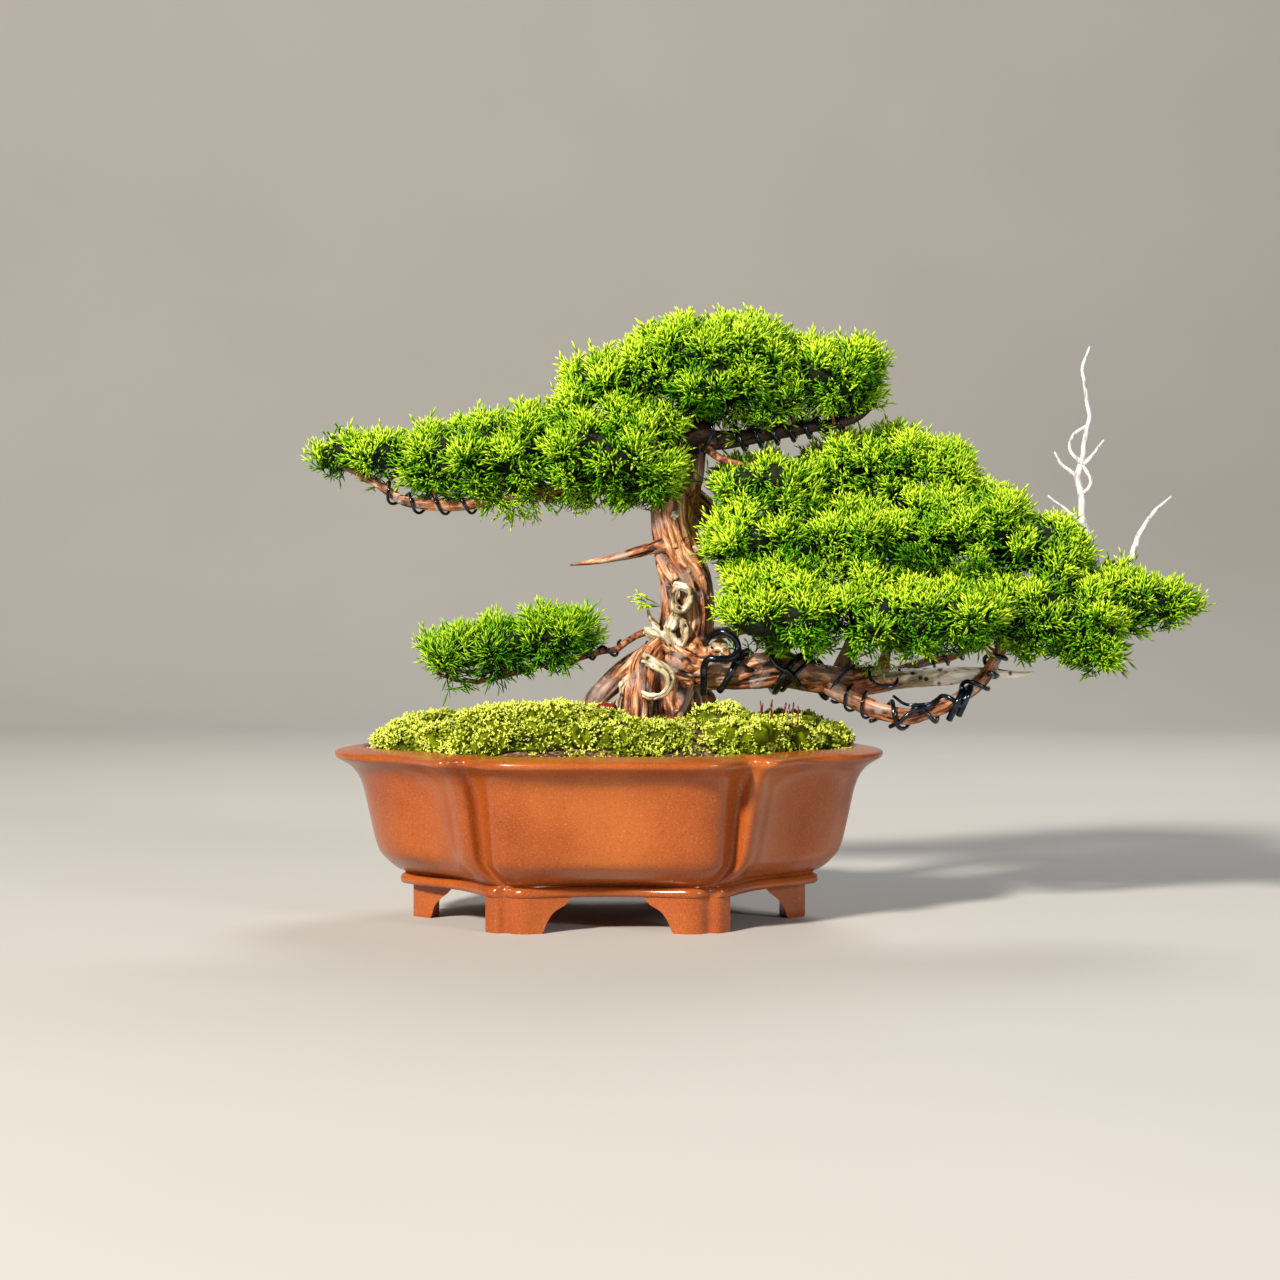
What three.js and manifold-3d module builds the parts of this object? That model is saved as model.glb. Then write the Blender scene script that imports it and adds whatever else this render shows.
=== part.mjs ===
// Shimpaku juniper bonsai, wired and planted in a lobed clay pot with feet.
// Millimetres, +Z up. Everything is described around the middle of the pot: X runs along the pot's
// length, Y away from the front, Z up from the surface that the feet stand on. The last lines move
// the whole group so that its origin is the bottom centre of its bounding box.
import * as THREE from 'three';
import { mergeVertices } from 'three/addons/utils/BufferGeometryUtils.js';
import Module from 'manifold-3d';

const wasm = await Module();
wasm.setup();

// Driving dimensions
const CLEARANCE = 0.4; // between pieces that touch in the real thing
const FOOT_HEIGHT = 24; // the underside of the pot above the surface
const FLOOR_TOP = 36; // the inside floor of the pot
const RIM_TOP = 123;
const RIM_INNER = 0.38; // how far the rim's top reaches in, as a share of rim to base
const DRAIN_RADIUS = 11;
const DRAIN_SIDES = 16;
const DRAIN_X = 62; // the two drain holes are this far left and right of the middle
const TIE_HOLE_RADIUS = 3;
const TIE_HOLE_SIDES = 8;
const TIE_HOLE_X = 98;
const TIE_HOLE_Y = 28;
const TIE_WIRE_RADIUS = 1.25;
const LOOP_STEPS = 18; // along a tie wire or a clip
const SCREEN_SIZE = 34; // the plastic mesh over a drain hole
const SCREEN_THICKNESS = 1.2;
const SCREEN_MIDDLE = FLOOR_TOP + CLEARANCE + SCREEN_THICKNESS / 2;
const SCREEN_GRID = [-8, 0, 8]; // the openings in the mesh, across and along
const SCREEN_HOLE = 6;
const CLIP_WIRE_RADIUS = 0.75;
const CLIP_TOP = SCREEN_MIDDLE + SCREEN_THICKNESS / 2 + CLEARANCE + CLIP_WIRE_RADIUS;
const CLIP_BOTTOM = FOOT_HEIGHT - CLEARANCE - CLIP_WIRE_RADIUS;
const HEAVY_WIRE_RADIUS = 2.5;
const MIDDLE_WIRE_RADIUS = 1.6;
const FINE_WIRE_RADIUS = 1.1;
const WIRE_SIDES = 6;
const STEPS_PER_TURN = 9;
const TRUNK_FLUTES = 3; // shallow ridges round the trunk
const FLUTE_TWIST = 5; // how far they turn from foot to top, in radians

// The pot in plan. One quarter of each outline, from the middle of the long side, over the lobe's
// corner, the notch and the small rib, to the tip of the short side.
const RIM_QUARTER = [
  [0, 150], [30, 151], [56, 150], [73, 147], [85, 137], [96, 113], [109, 131], [120, 119],
  [131, 91], [149, 76], [170, 67], [186, 46], [194, 22], [196, 0],
];
const BELLY_QUARTER = [
  [0, 117], [25, 119], [47, 119], [64, 118], [76, 112], [82, 97], [91, 102], [98, 94],
  [106, 76], [121, 61], [140, 49], [154, 33], [162, 15], [164, 0],
];
const BASE_QUARTER = [
  [0, 87], [24, 89], [42, 94], [54, 98], [62, 97], [69, 92], [75, 93], [83, 86],
  [92, 67], [104, 47], [118, 32], [132, 20], [142, 9], [147, 0],
];
const BELLY_SHARE = 0.65; // where the belly outline lies between the rim (0) and the base (1)

// The pot's section: [share from the rim's outline to the base's, height]
const OUTER_SECTION = [
  [1, 24], [0.97, 27], [0.99, 31], [1.02, 32], [0.83, 38], [0.65, 48], [0.54, 66],
  [0.43, 90], [0.34, 102], [0.22, 109], [0.06, 114], [0, 118],
];
const INNER_SECTION = [
  [RIM_INNER, RIM_TOP], [0.45, 120], [0.56, 100], [0.86, 48], [1.15, FLOOR_TOP],
];

// Branches: points [x, y, z, radius], from the thick end to the tip
const TRUNK = [
  [40, 8, 118, 27], [40, 6, 138, 28], [42, 4, 158, 26], [46, 3, 178, 23], [52, 3, 198, 20],
  [57, 3, 218, 19.5], [56, 2, 240, 18.5], [50, 1, 258, 18], [46, -1, 276, 17.5],
  [47, -2, 296, 17], [56, 0, 310, 11.5], [61, 0, 327, 8.8], [65, 1, 348, 8],
  [67, 2, 372, 6.5], [70, 0, 392, 4],
];
const LIMB = [
  [44, -4, 190, 19], [56, -6, 182, 20.5], [68, -7, 178, 15], [92, -8, 175, 12.5],
  [121, -12, 177, 13], [145, -16, 172, 10.5], [163, -18, 169, 9.6], [191, -22, 170, 10.6],
  [203, -23, 171, 8.4], [218, -24, 172, 7.6], [236, -26, 173, 7], [250, -27, 174, 6.4],
  [268, -28, 175, 4.8], [286, -28, 174, 3], [300, -28, 176, 1],
];
const SIDE_BRANCH = [
  [156, -20, 166, 7], [180, -34, 153, 6.8], [206, -42, 145, 6], [224, -43, 148, 5.2],
  [242, -40, 156, 5], [262, -34, 170, 4.8], [276, -28, 191, 4.4], [294, -24, 210, 4.2],
  [320, -20, 220, 4.4], [350, -16, 226, 3.8], [388, -12, 229, 2.6],
];
const LEFT_BRANCH = [
  [52, -1, 312, 10], [22, -6, 312, 8], [-21, -10, 306, 6.2], [-77, -14, 297, 4.8],
  [-113, -14, 294, 4.2], [-143, -12, 296, 3.8], [-163, -10, 308, 3.2], [-184, -8, 319, 2.4],
  [-202, -6, 325, 1.6],
];
const APEX_BRANCH = [
  [64, 0, 342, 8], [78, -2, 340, 7.4], [100, -4, 342, 6], [136, -2, 348, 5],
  [172, 0, 355, 4], [190, 0, 368, 2.5],
];
const LOWER_LEFT_BRANCH = [
  [44, -4, 204, 4], [30, -9, 205, 2.8], [18, -13, 200, 2.5], [4, -16, 191, 2.3],
  [-9, -18, 189, 2.2], [-48, -24, 180, 2], [-98, -28, 169, 1.7], [-119, -30, 175, 1.2],
];
const BRANCHES = [
  { points: LIMB, sides: 10, steps: 15 },
  { points: SIDE_BRANCH, sides: 6, steps: 14 },
  { points: LEFT_BRANCH, sides: 6, steps: 9 },
  { points: APEX_BRANCH, sides: 6, steps: 5 },
  { points: LOWER_LEFT_BRANCH, sides: 6, steps: 8 },
  // the branch that crosses in front of the upper trunk and feeds the top of the left pads
  { points: [[74, -3, 348, 8], [56, -5, 343, 8.6], [38, -7, 338, 7.6], [0, -10, 349, 4.6],
    [-28, -8, 360, 2.4]], steps: 4 },
  // the twig that carries the small pad beside the trunk
  { points: [[64, -3, 338, 3.4], [82, -12, 326, 2.6], [100, -20, 321, 2.3], [126, -25, 312, 1.8]] },
  // the ridge of bark on the trunk's right that turns into the middle branch
  { points: [[52, 0, 308, 8], [68, 2, 294, 7], [80, 4, 279, 6], [110, 2, 267, 5],
    [146, -4, 264, 4], [182, -6, 268, 2.6]], steps: 6 },
  // the riser at the back of the limb and its fork
  { points: [[163, -14, 172, 7], [176, 2, 200, 5.6], [190, 12, 240, 4.8], [200, 20, 284, 4],
    [206, 28, 314, 2.8]], steps: 5 },
  { points: [[186, 10, 232, 4.6], [226, 10, 256, 3.6], [268, 6, 264, 2.4]] },
  // short risers into the front row
  { points: [[123, -12, 180, 5.4], [125, -15, 200, 3.6], [128, -30, 214, 2.6]] },
  { points: [[193, -22, 176, 5], [196, -40, 198, 3.2], [202, -54, 212, 2.2]] },
  // the thin branch over the deadwood
  { points: [[202, -20, 176, 4.2], [227, -13, 183, 3.4], [246, -10, 187, 3.2],
    [268, -10, 200, 3], [292, -8, 216, 2.4]] },
  // the branches at the back
  { points: [[54, 14, 206, 7], [78, 38, 202, 4.8], [104, 58, 206, 3.6], [124, 66, 214, 2.4]] },
  { points: [[52, 8, 282, 9], [76, 36, 288, 6], [112, 66, 296, 4.4], [156, 80, 304, 3]] },
  // the bare spike on the trunk's left
  { points: [[46, -8, 266, 8], [33, -12, 264, 5.4], [15, -16, 259, 4], [-6, -18, 254, 2.8],
    [-28, -18, 251, 1.2]], steps: 5 },
];
const ROOTS = [
  // the wing that slopes down on the left
  { points: [[34, 0, 190, 10], [16, -6, 179, 9], [0, -12, 166, 7.6], [-13, -16, 152, 7],
    [-23, -20, 134, 6]], sides: 8, steps: 5 },
  // the column in front
  { points: [[40, -8, 196, 10], [27, -18, 184, 10.6], [22, -24, 168, 10.4], [20, -28, 150, 10.8],
    [18, -30, 130, 9]], sides: 8, steps: 5 },
  // the narrow pale root between them
  { points: [[20, -16, 178, 3.4], [10, -27, 166, 3.6], [7, -31, 150, 4], [6, -34, 132, 3.4]] },
  // the roots under the swelling, on the right and at the back
  { points: [[58, -12, 170, 6], [55, -18, 157, 3.4], [50, -22, 145, 2.8], [46, -24, 132, 2.4]] },
  { points: [[56, 8, 170, 13], [68, 16, 152, 10], [78, 22, 130, 7]], sides: 6 },
  { points: [[44, 16, 172, 14], [54, 36, 154, 11], [64, 52, 132, 7]], sides: 6 },
  { points: [[34, 14, 168, 12], [12, 34, 150, 9], [-4, 46, 130, 6]], sides: 6 },
];
const DEADWOOD = [
  // the hook that curls in front of the root column
  { points: [[25, -29, 186, 3.4], [33, -38, 182, 3.6], [41, -42, 175, 3.6], [42, -42, 167, 3.6],
    [35, -41, 160, 3.6], [28, -38, 158, 3.6], [23, -33, 163, 3.4]], steps: 8 },
  // the vein down the trunk and the hollow ring at its foot
  { points: [[37, -14, 256, 3], [43, -17, 246, 2.8], [49, -20, 238, 2.8], [55, -21, 236, 2.4],
    [59, -21, 230, 2.4], [58, -21, 221, 2.4], [52, -20, 215, 2.8], [45, -20, 218, 2.8],
    [45, -20, 227, 2.4], [49, -20, 235, 2.4]], steps: 12 },
  // the torn stump below the ring, its dark splinter and its white cut stub
  { points: [[50, -14, 216, 6], [44, -17, 204, 8], [48, -16, 192, 7]] },
  { points: [[38, -13, 200, 3.4], [31, -15, 211, 2.2], [27, -16, 220, 0.8]] },
  { points: [[38, -12, 200, 4.4], [24, -16, 204, 3.8]] },
  // the knob that the heavy wire is anchored on
  { points: [[74, -8, 185, 9], [79, -22, 192, 8.4]] },
  // the cream stub on the trunk's right
  { points: [[58, -8, 262, 4.6], [67, -14, 264, 3.4]] },
];
const UPRIGHT_JIN = [
  [345, -15, 226, 4.2], [346, -9, 253, 3.6], [341, -8, 271, 3.3], [337, -8, 284, 3],
  [336, -8, 300, 2.8], [333, -8, 314, 2.7], [336, -8, 326, 2.4], [338, -8, 339, 2.1],
  [341, -8, 354, 1.9], [340, -8, 368, 1.7], [338, -8, 380, 1.5], [336, -8, 390, 1.3],
  [338, -8, 398, 1.1], [341, -8, 406, 0.8],
];
const JINS = [
  { points: UPRIGHT_JIN, steps: 13 },
  { points: [[338, -8, 279, 2], [324, -9, 291, 1.3], [312, -10, 300, 0.8]], sides: 4, steps: 2 },
  { points: [[334, -8, 313, 2], [322, -7, 323, 1.3], [316, -7, 332, 0.8]], sides: 4, steps: 2 },
  { points: [[335, -8, 323, 1.9], [327, -9, 335, 1.4], [330, -9, 343, 1.3], [339, -8, 350, 1.5]],
    sides: 4, steps: 4 },
  { points: [[337, -8, 323, 1.9], [345, -7, 331, 1.3], [352, -7, 340, 0.8]], sides: 4, steps: 2 },
  { points: [[336, -8, 322, 1.8], [342, -8, 314, 1.5], [342, -8, 308, 1.5], [337, -8, 301, 1.6]],
    sides: 4, steps: 4 },
  { points: [[372, -14, 227, 3.4], [371, -8, 251, 3], [375, -8, 268, 2.4], [381, -8, 280, 2],
    [388, -8, 290, 1.5], [400, -8, 300, 0.8]], steps: 5 },
];

// Foliage pads: lumps [x, y, z, half length, half depth, half height]
const PADS = {
  foliage_left_tip: [[-193, -6, 331, 20, 20, 11], [-166, -6, 331, 30, 28, 19]],
  foliage_left_branch: [[-126, -8, 327, 28, 37, 27], [-92, -12, 329, 32, 42, 31],
    [-62, -8, 333, 30, 46, 34]],
  foliage_left_inner: [[-24, -10, 334, 34, 52, 37], [10, -14, 332, 34, 54, 38],
    [33, -16, 322, 20, 44, 29]],
  foliage_apex_left: [[-6, 2, 379, 30, 50, 23], [22, -2, 388, 28, 54, 25]],
  foliage_apex_crown: [[54, -4, 402, 38, 60, 27], [92, 0, 403, 42, 60, 27],
    [66, -6, 378, 36, 62, 24], [104, -3, 375, 36, 50, 22]],
  foliage_apex_right: [[146, 0, 390, 32, 50, 25], [176, -1, 392, 23, 40, 24],
    [166, 2, 374, 31, 40, 18]],
  foliage_small: [[92, -26, 309, 19, 25, 16], [122, -24, 313, 21, 27, 17]],
  foliage_right_upper: [[170, 26, 328, 28, 48, 21], [206, 26, 330, 34, 52, 24],
    [240, 22, 323, 25, 44, 21]],
  foliage_right_middle: [[94, -24, 270, 28, 42, 28], [132, -22, 268, 31, 46, 30],
    [172, -18, 271, 33, 48, 30]],
  foliage_right_shoulder: [[228, -2, 281, 29, 50, 29], [268, -4, 281, 33, 52, 29],
    [310, -5, 263, 34, 48, 26]],
  foliage_front_row_left: [[103, -60, 219, 28, 38, 26], [137, -62, 218, 31, 41, 28]],
  foliage_front_row_right: [[178, -62, 217, 29, 40, 27], [214, -62, 215, 28, 41, 28],
    [248, -60, 217, 28, 39, 28]],
  foliage_right_slope: [[296, -20, 221, 32, 54, 33], [330, -22, 216, 31, 54, 33],
    [342, -24, 199, 26, 44, 22]],
  foliage_right_tip: [[372, -14, 230, 24, 34, 24], [399, -14, 225, 21, 27, 17]],
  foliage_lower_left: [[-110, -30, 189, 22, 27, 20], [-78, -30, 195, 27, 30, 20],
    [-38, -27, 202, 32, 31, 21]],
  foliage_back_low: [[112, 70, 216, 34, 32, 16], [142, 74, 222, 28, 28, 15]],
  foliage_back_high: [[112, 82, 316, 40, 38, 20], [156, 86, 310, 42, 37, 20]],
};

// Moss cushions, in the same form
const MOSS = {
  moss_front: [[-44, -64, 126, 80, 46, 27], [-98, -70, 120, 44, 38, 21],
    [24, -82, 120, 42, 36, 22]],
  moss_left: [[-110, -4, 123, 58, 58, 21]],
  moss_right_front: [[104, -66, 120, 54, 42, 22]],
  moss_middle: [[80, -30, 131, 42, 25, 19]],
  moss_right: [[130, 14, 122, 48, 54, 20]],
  moss_back: [[-30, 70, 124, 74, 46, 19], [56, 74, 124, 56, 42, 19]],
};

// Solids from meshes

const MERGE_DISTANCE = 1e-4; // corners nearer than this are one corner

function solidOf(geometry) {
  geometry.deleteAttribute('normal');
  geometry.deleteAttribute('uv');
  const merged = mergeVertices(geometry, MERGE_DISTANCE);
  return new wasm.Manifold(new wasm.Mesh({
    numProp: 3,
    vertProperties: new Float32Array(merged.attributes.position.array),
    triVerts: new Uint32Array(merged.index.array),
  }));
}

function union(solids) {
  return solids.reduce((whole, solid) => whole.add(solid));
}

function largestPiece(solid) {
  const pieces = solid.decompose();
  return pieces.reduce((best, piece) => (piece.volume() > best.volume() ? piece : best));
}

function geometryOf(solid) {
  const mesh = solid.getMesh();
  const geometry = new THREE.BufferGeometry();
  geometry.setAttribute('position', new THREE.BufferAttribute(mesh.vertProperties, 3));
  geometry.setIndex(new THREE.BufferAttribute(mesh.triVerts, 1));
  geometry.computeVertexNormals();
  return geometry;
}

function placed(geometry, x, y, z) {
  geometry.translate(x, y, z);
  return solidOf(geometry);
}

function boxSolid(x, y, z, width, depth, height) {
  return placed(new THREE.BoxGeometry(width, depth, height), x, y, z);
}

// Branches: a cylinder bent along a curve, with a radius that changes along it

function branchCurve(points) {
  return new THREE.CatmullRomCurve3(points.map(([x, y, z]) => new THREE.Vector3(x, y, z)));
}

function radiusAt(points, share) {
  const place = share * (points.length - 1);
  const index = Math.min(Math.floor(place), points.length - 2);
  return THREE.MathUtils.lerp(points[index][3], points[index + 1][3], place - index);
}

function branchSolid({ points, sides = 5, steps = 3, flutes = 0 }, extra) {
  const curve = branchCurve(points);
  const frames = curve.computeFrenetFrames(steps);
  const geometry = new THREE.CylinderGeometry(1, 1, 1, sides, steps);
  const position = geometry.attributes.position;
  const vertex = new THREE.Vector3();
  for (let i = 0; i < position.count; i++) {
    vertex.fromBufferAttribute(position, i);
    const step = Math.round((vertex.y + 0.5) * steps);
    const share = curve.getUtoTmapping(step / steps);
    const angle = Math.atan2(vertex.z, vertex.x);
    const flute = 1 + flutes * Math.sin(TRUNK_FLUTES * angle + FLUTE_TWIST * share);
    const reach = Math.hypot(vertex.x, vertex.z) * (radiusAt(points, share) * flute + extra);
    const place = curve.getPoint(share);
    place.addScaledVector(frames.binormals[step], reach * Math.cos(angle));
    place.addScaledVector(frames.normals[step], reach * Math.sin(angle));
    if (step === 0) place.addScaledVector(frames.tangents[step], -extra);
    if (step === steps) place.addScaledVector(frames.tangents[step], extra);
    position.setXYZ(i, place.x, place.y, place.z);
  }
  return solidOf(geometry);
}

function treeSolid(extra) {
  const specs = [{ points: TRUNK, sides: 10, steps: 15, flutes: 0.07 },
    ...BRANCHES, ...ROOTS, ...DEADWOOD, ...JINS];
  return union(specs.map((spec) => branchSolid(spec, extra)));
}

// Wires: a many-sided section swept along a helix round a branch

function wireSection(radius) {
  const shape = new THREE.Shape();
  for (let i = 0; i < WIRE_SIDES; i++) {
    const angle = (i / WIRE_SIDES) * 2 * Math.PI;
    const draw = i ? 'lineTo' : 'moveTo';
    shape[draw](radius * Math.cos(angle), radius * Math.sin(angle));
  }
  shape.closePath();
  return shape;
}

function sweep(path, radius, steps) {
  const options = { steps, extrudePath: path, bevelEnabled: false };
  return new THREE.ExtrudeGeometry(wireSection(radius), options);
}

// The turns start at an angle from the branch's top, over its front, and stay outside its facets.
// A hand of -1 winds them the other way round.
function helixPath({ points, from, to, turns, radius, start = 0, slack = 0, hand = 1 }) {
  const curve = branchCurve(points);
  const count = Math.round(turns * STEPS_PER_TURN);
  const stretch = 1 / Math.cos(Math.PI / STEPS_PER_TURN);
  const up = new THREE.Vector3(0, 0, 1);
  const path = [];
  for (let i = 0; i <= count; i++) {
    const share = curve.getUtoTmapping(THREE.MathUtils.lerp(from, to, i / count));
    const angle = THREE.MathUtils.degToRad(start) + (hand * 2 * Math.PI * i) / STEPS_PER_TURN;
    const reach = (radiusAt(points, share) + slack + radius + CLEARANCE) * stretch;
    const tangent = curve.getTangent(share);
    const front = new THREE.Vector3().crossVectors(tangent, up).normalize();
    const top = new THREE.Vector3().crossVectors(front, tangent);
    const place = curve.getPoint(share);
    place.addScaledVector(top, reach * Math.cos(angle));
    place.addScaledVector(front, reach * Math.sin(angle));
    path.push(place);
  }
  return new THREE.CatmullRomCurve3(path);
}

const WIRES = {
  wire_limb_heavy: { points: LIMB, from: 0.152, to: 0.447, turns: 1.9, start: 150, hand: -1,
    radius: HEAVY_WIRE_RADIUS },
  wire_limb_second: { points: LIMB, from: 0.32, to: 0.4287, turns: 0.7, start: 182, hand: -1,
    radius: MIDDLE_WIRE_RADIUS },
  wire_side_branch: { points: SIDE_BRANCH, from: 0.14, to: 0.45, turns: 4, start: 180,
    slack: 0.6, radius: MIDDLE_WIRE_RADIUS },
  wire_left_branch: { points: LEFT_BRANCH, from: 0.54, to: 0.82, turns: 4,
    slack: 1.2, radius: FINE_WIRE_RADIUS },
  wire_apex_branch: { points: APEX_BRANCH, from: 0.2, to: 0.82, turns: 7,
    slack: 0.2, radius: MIDDLE_WIRE_RADIUS },
  wire_lower_left: { points: LOWER_LEFT_BRANCH, from: 0.22, to: 0.68, turns: 5,
    slack: 0.3, radius: FINE_WIRE_RADIUS },
};

function wireGeometry(spec) {
  const steps = Math.round(spec.turns * STEPS_PER_TURN);
  return sweep(helixPath(spec), spec.radius, steps);
}

// The stretch of branch that a wire covers, wide enough to clear the wire
const SLEEVE_SIDES = 6;
const SLEEVE_STEPS = 5;

function sleeve({ points, from, to, radius, slack = 0 }) {
  const curve = branchCurve(points);
  const outward = 1 / Math.cos(Math.PI / SLEEVE_SIDES);
  const stretch = [];
  for (let i = 0; i <= SLEEVE_STEPS; i++) {
    const share = curve.getUtoTmapping(THREE.MathUtils.lerp(from, to, i / SLEEVE_STEPS));
    const place = curve.getPoint(share);
    const reach = (radiusAt(points, share) + slack + 2 * radius + CLEARANCE) * outward;
    stretch.push([place.x, place.y, place.z, reach]);
  }
  const spec = { points: stretch, sides: SLEEVE_SIDES, steps: SLEEVE_STEPS };
  return branchSolid(spec, 2 * CLEARANCE + radius);
}

// The pot

function quarterAt(share) {
  const upper = share < BELLY_SHARE;
  const [start, end] = upper ? [RIM_QUARTER, BELLY_QUARTER] : [BELLY_QUARTER, BASE_QUARTER];
  const mix = upper ? share / BELLY_SHARE : (share - BELLY_SHARE) / (1 - BELLY_SHARE);
  return start.map(([x, y], i) => [
    THREE.MathUtils.lerp(x, end[i][0], mix),
    THREE.MathUtils.lerp(y, end[i][1], mix),
  ]);
}

// The whole outline, counter-clockwise from the tip of the right end
function outline(share) {
  const quarter = quarterAt(share);
  const right = [...quarter].reverse();
  const left = quarter.slice(1).map(([x, y]) => [-x, y]);
  const rear = [...right, ...left];
  const front = rear.slice(1, -1).reverse().map(([x, y]) => [x, -y]);
  return [...rear, ...front];
}

function ring(share, z, scale = 1) {
  return { points: outline(share).map(([x, y]) => [x * scale, y * scale]), z };
}

function span(positions, a, b) {
  const step = (axis) => positions[3 * a + axis] - positions[3 * b + axis];
  return Math.hypot(step(0), step(1), step(2));
}

// A closed skin over a stack of rings, with a point in the middle of the first and last
function loft(rings) {
  const count = rings[0].points.length;
  const positions = [0, 0, rings[0].z];
  for (const { points, z } of rings) {
    for (const [x, y] of points) positions.push(x, y, z);
  }
  positions.push(0, 0, rings[rings.length - 1].z);
  const last = positions.length / 3 - 1;
  const lastRing = 1 + (rings.length - 1) * count;
  const indices = [];
  for (let i = 0; i < count; i++) {
    const next = (i + 1) % count;
    indices.push(0, 1 + next, 1 + i);
    indices.push(last, lastRing + i, lastRing + next);
    for (let low = 1; low < lastRing; low += count) {
      const high = low + count;
      // each four-sided patch is split along its shorter diagonal
      if (span(positions, low + i, high + next) <= span(positions, low + next, high + i)) {
        indices.push(low + i, low + next, high + next);
        indices.push(low + i, high + next, high + i);
      } else {
        indices.push(low + i, low + next, high + i);
        indices.push(low + next, high + next, high + i);
      }
    }
  }
  const geometry = new THREE.BufferGeometry();
  geometry.setAttribute('position', new THREE.Float32BufferAttribute(positions, 3));
  geometry.setIndex(indices);
  return geometry;
}

function extruded(points, height) {
  const shape = new THREE.Shape(points.map(([x, y]) => new THREE.Vector2(x, y)));
  return new THREE.ExtrudeGeometry(shape, { depth: height, bevelEnabled: false });
}

// A foot: a wall that follows the base outline, cut to an ogee on its inner side
const CUTTER_DEPTH = 400; // wider than the pot

function footSolid({ from, to, outerShare, innerShare, throughTip, ogee }, sideX, sideY) {
  const outer = quarterAt(outerShare).slice(from, to + 1);
  const inner = quarterAt(innerShare).slice(from, to + 1);
  const mirrored = (points) => points.slice(0, -1).reverse().map(([x, y]) => [x, -y]);
  const plan = throughTip
    ? [...outer, ...mirrored(outer), ...mirrored(inner).reverse(), ...[...inner].reverse()]
    : [...outer, ...[...inner].reverse()];
  const wall = extruded(plan.map(([x, y]) => [x * sideX, y * sideY]), FOOT_HEIGHT + 1);
  const top = FOOT_HEIGHT + 2;
  const cut = [[ogee[0][0], -1], ...ogee, [ogee[ogee.length - 1][0], top], [0, top], [0, -1]];
  const cutter = extruded(cut.map(([x, z]) => [x * sideX, z]), CUTTER_DEPTH);
  cutter.rotateX(Math.PI / 2);
  return solidOf(wall).subtract(placed(cutter, 0, CUTTER_DEPTH / 2, 0));
}

const LONG_SIDE_FOOT = {
  from: 1, to: 7, outerShare: 1.04, innerShare: 1.32, throughTip: false,
  ogee: [[44, 0], [41, 8], [36, 15], [29, 19], [25, 24]],
};
const END_FOOT = {
  from: 9, to: 13, outerShare: 1.14, innerShare: 1.52, throughTip: true,
  ogee: [[127, 0], [124, 9], [119, 15], [114, 19], [110, 24]],
};

// A hole through the floor
const DRILL_LENGTH = 40;

function drillSolid(x, y, radius, sides) {
  const drill = new THREE.CylinderGeometry(radius, radius, DRILL_LENGTH, sides);
  drill.rotateX(Math.PI / 2);
  return placed(drill, x, y, (FOOT_HEIGHT + FLOOR_TOP) / 2);
}

function potSolid() {
  const rings = [...OUTER_SECTION, ...INNER_SECTION].map(([share, z]) => ring(share, z));
  const feet = [1, -1].flatMap((sideX) => [
    footSolid(END_FOOT, sideX, 1),
    footSolid(LONG_SIDE_FOOT, sideX, 1),
    footSolid(LONG_SIDE_FOOT, sideX, -1),
  ]);
  const holes = [1, -1].flatMap((side) => [
    drillSolid(side * DRAIN_X, 0, DRAIN_RADIUS, DRAIN_SIDES),
    drillSolid(side * TIE_HOLE_X, TIE_HOLE_Y, TIE_HOLE_RADIUS, TIE_HOLE_SIDES),
    drillSolid(side * TIE_HOLE_X, -TIE_HOLE_Y, TIE_HOLE_RADIUS, TIE_HOLE_SIDES),
  ]);
  return union([solidOf(loft(rings)), ...feet]).subtract(union(holes));
}

// Under the soil: the mesh over each drain hole, its clip, and the wires that tie the tree in

function screenSolid(x) {
  const sheet = boxSolid(x, 0, SCREEN_MIDDLE, SCREEN_SIZE, SCREEN_SIZE, SCREEN_THICKNESS);
  const meshes = SCREEN_GRID.flatMap((u) => SCREEN_GRID.map((v) => (
    boxSolid(x + u, v, SCREEN_MIDDLE, SCREEN_HOLE, SCREEN_HOLE, 2 * SCREEN_THICKNESS))));
  return sheet.subtract(union(meshes));
}

function wirePath(points) {
  const vectors = points.map(([x, y, z]) => new THREE.Vector3(x, y, z));
  return new THREE.CatmullRomCurve3(vectors, false, 'centripetal');
}

function clipPath(x) {
  const left = [[x - 20, 0, CLIP_BOTTOM], [x - 11, 0, CLIP_BOTTOM - 0.2],
    [x - 8, 0, CLIP_BOTTOM + 1], [x - 7, 0, CLIP_BOTTOM + 5], [x - 7, 0, CLIP_TOP - 2],
    [x - 5.5, 0, CLIP_TOP]];
  const right = left.map(([u, v, z]) => [2 * x - u, v, z]).reverse();
  return wirePath([...left, ...right]);
}

function tiePath(x, top) {
  const bottom = FOOT_HEIGHT - CLEARANCE - TIE_WIRE_RADIUS;
  const front = [[x, -TIE_HOLE_Y + 15, bottom], [x, -TIE_HOLE_Y + 4, bottom - 0.4],
    [x, -TIE_HOLE_Y + 0.7, bottom + 1.4], [x, -TIE_HOLE_Y, bottom + 6], [x, -TIE_HOLE_Y, 60],
    [x, -TIE_HOLE_Y + 2, top - 16], [x, -TIE_HOLE_Y / 2, top - 4]];
  const back = front.map(([u, v, z]) => [u, -v, z]).reverse();
  return wirePath([...front, [x, 0, top], ...back]);
}

const TIES = {
  tie_wire_left: tiePath(-TIE_HOLE_X, 111),
  tie_wire_right: tiePath(TIE_HOLE_X, 115),
};

// The soil fills the pot and rises to a mound

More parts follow.
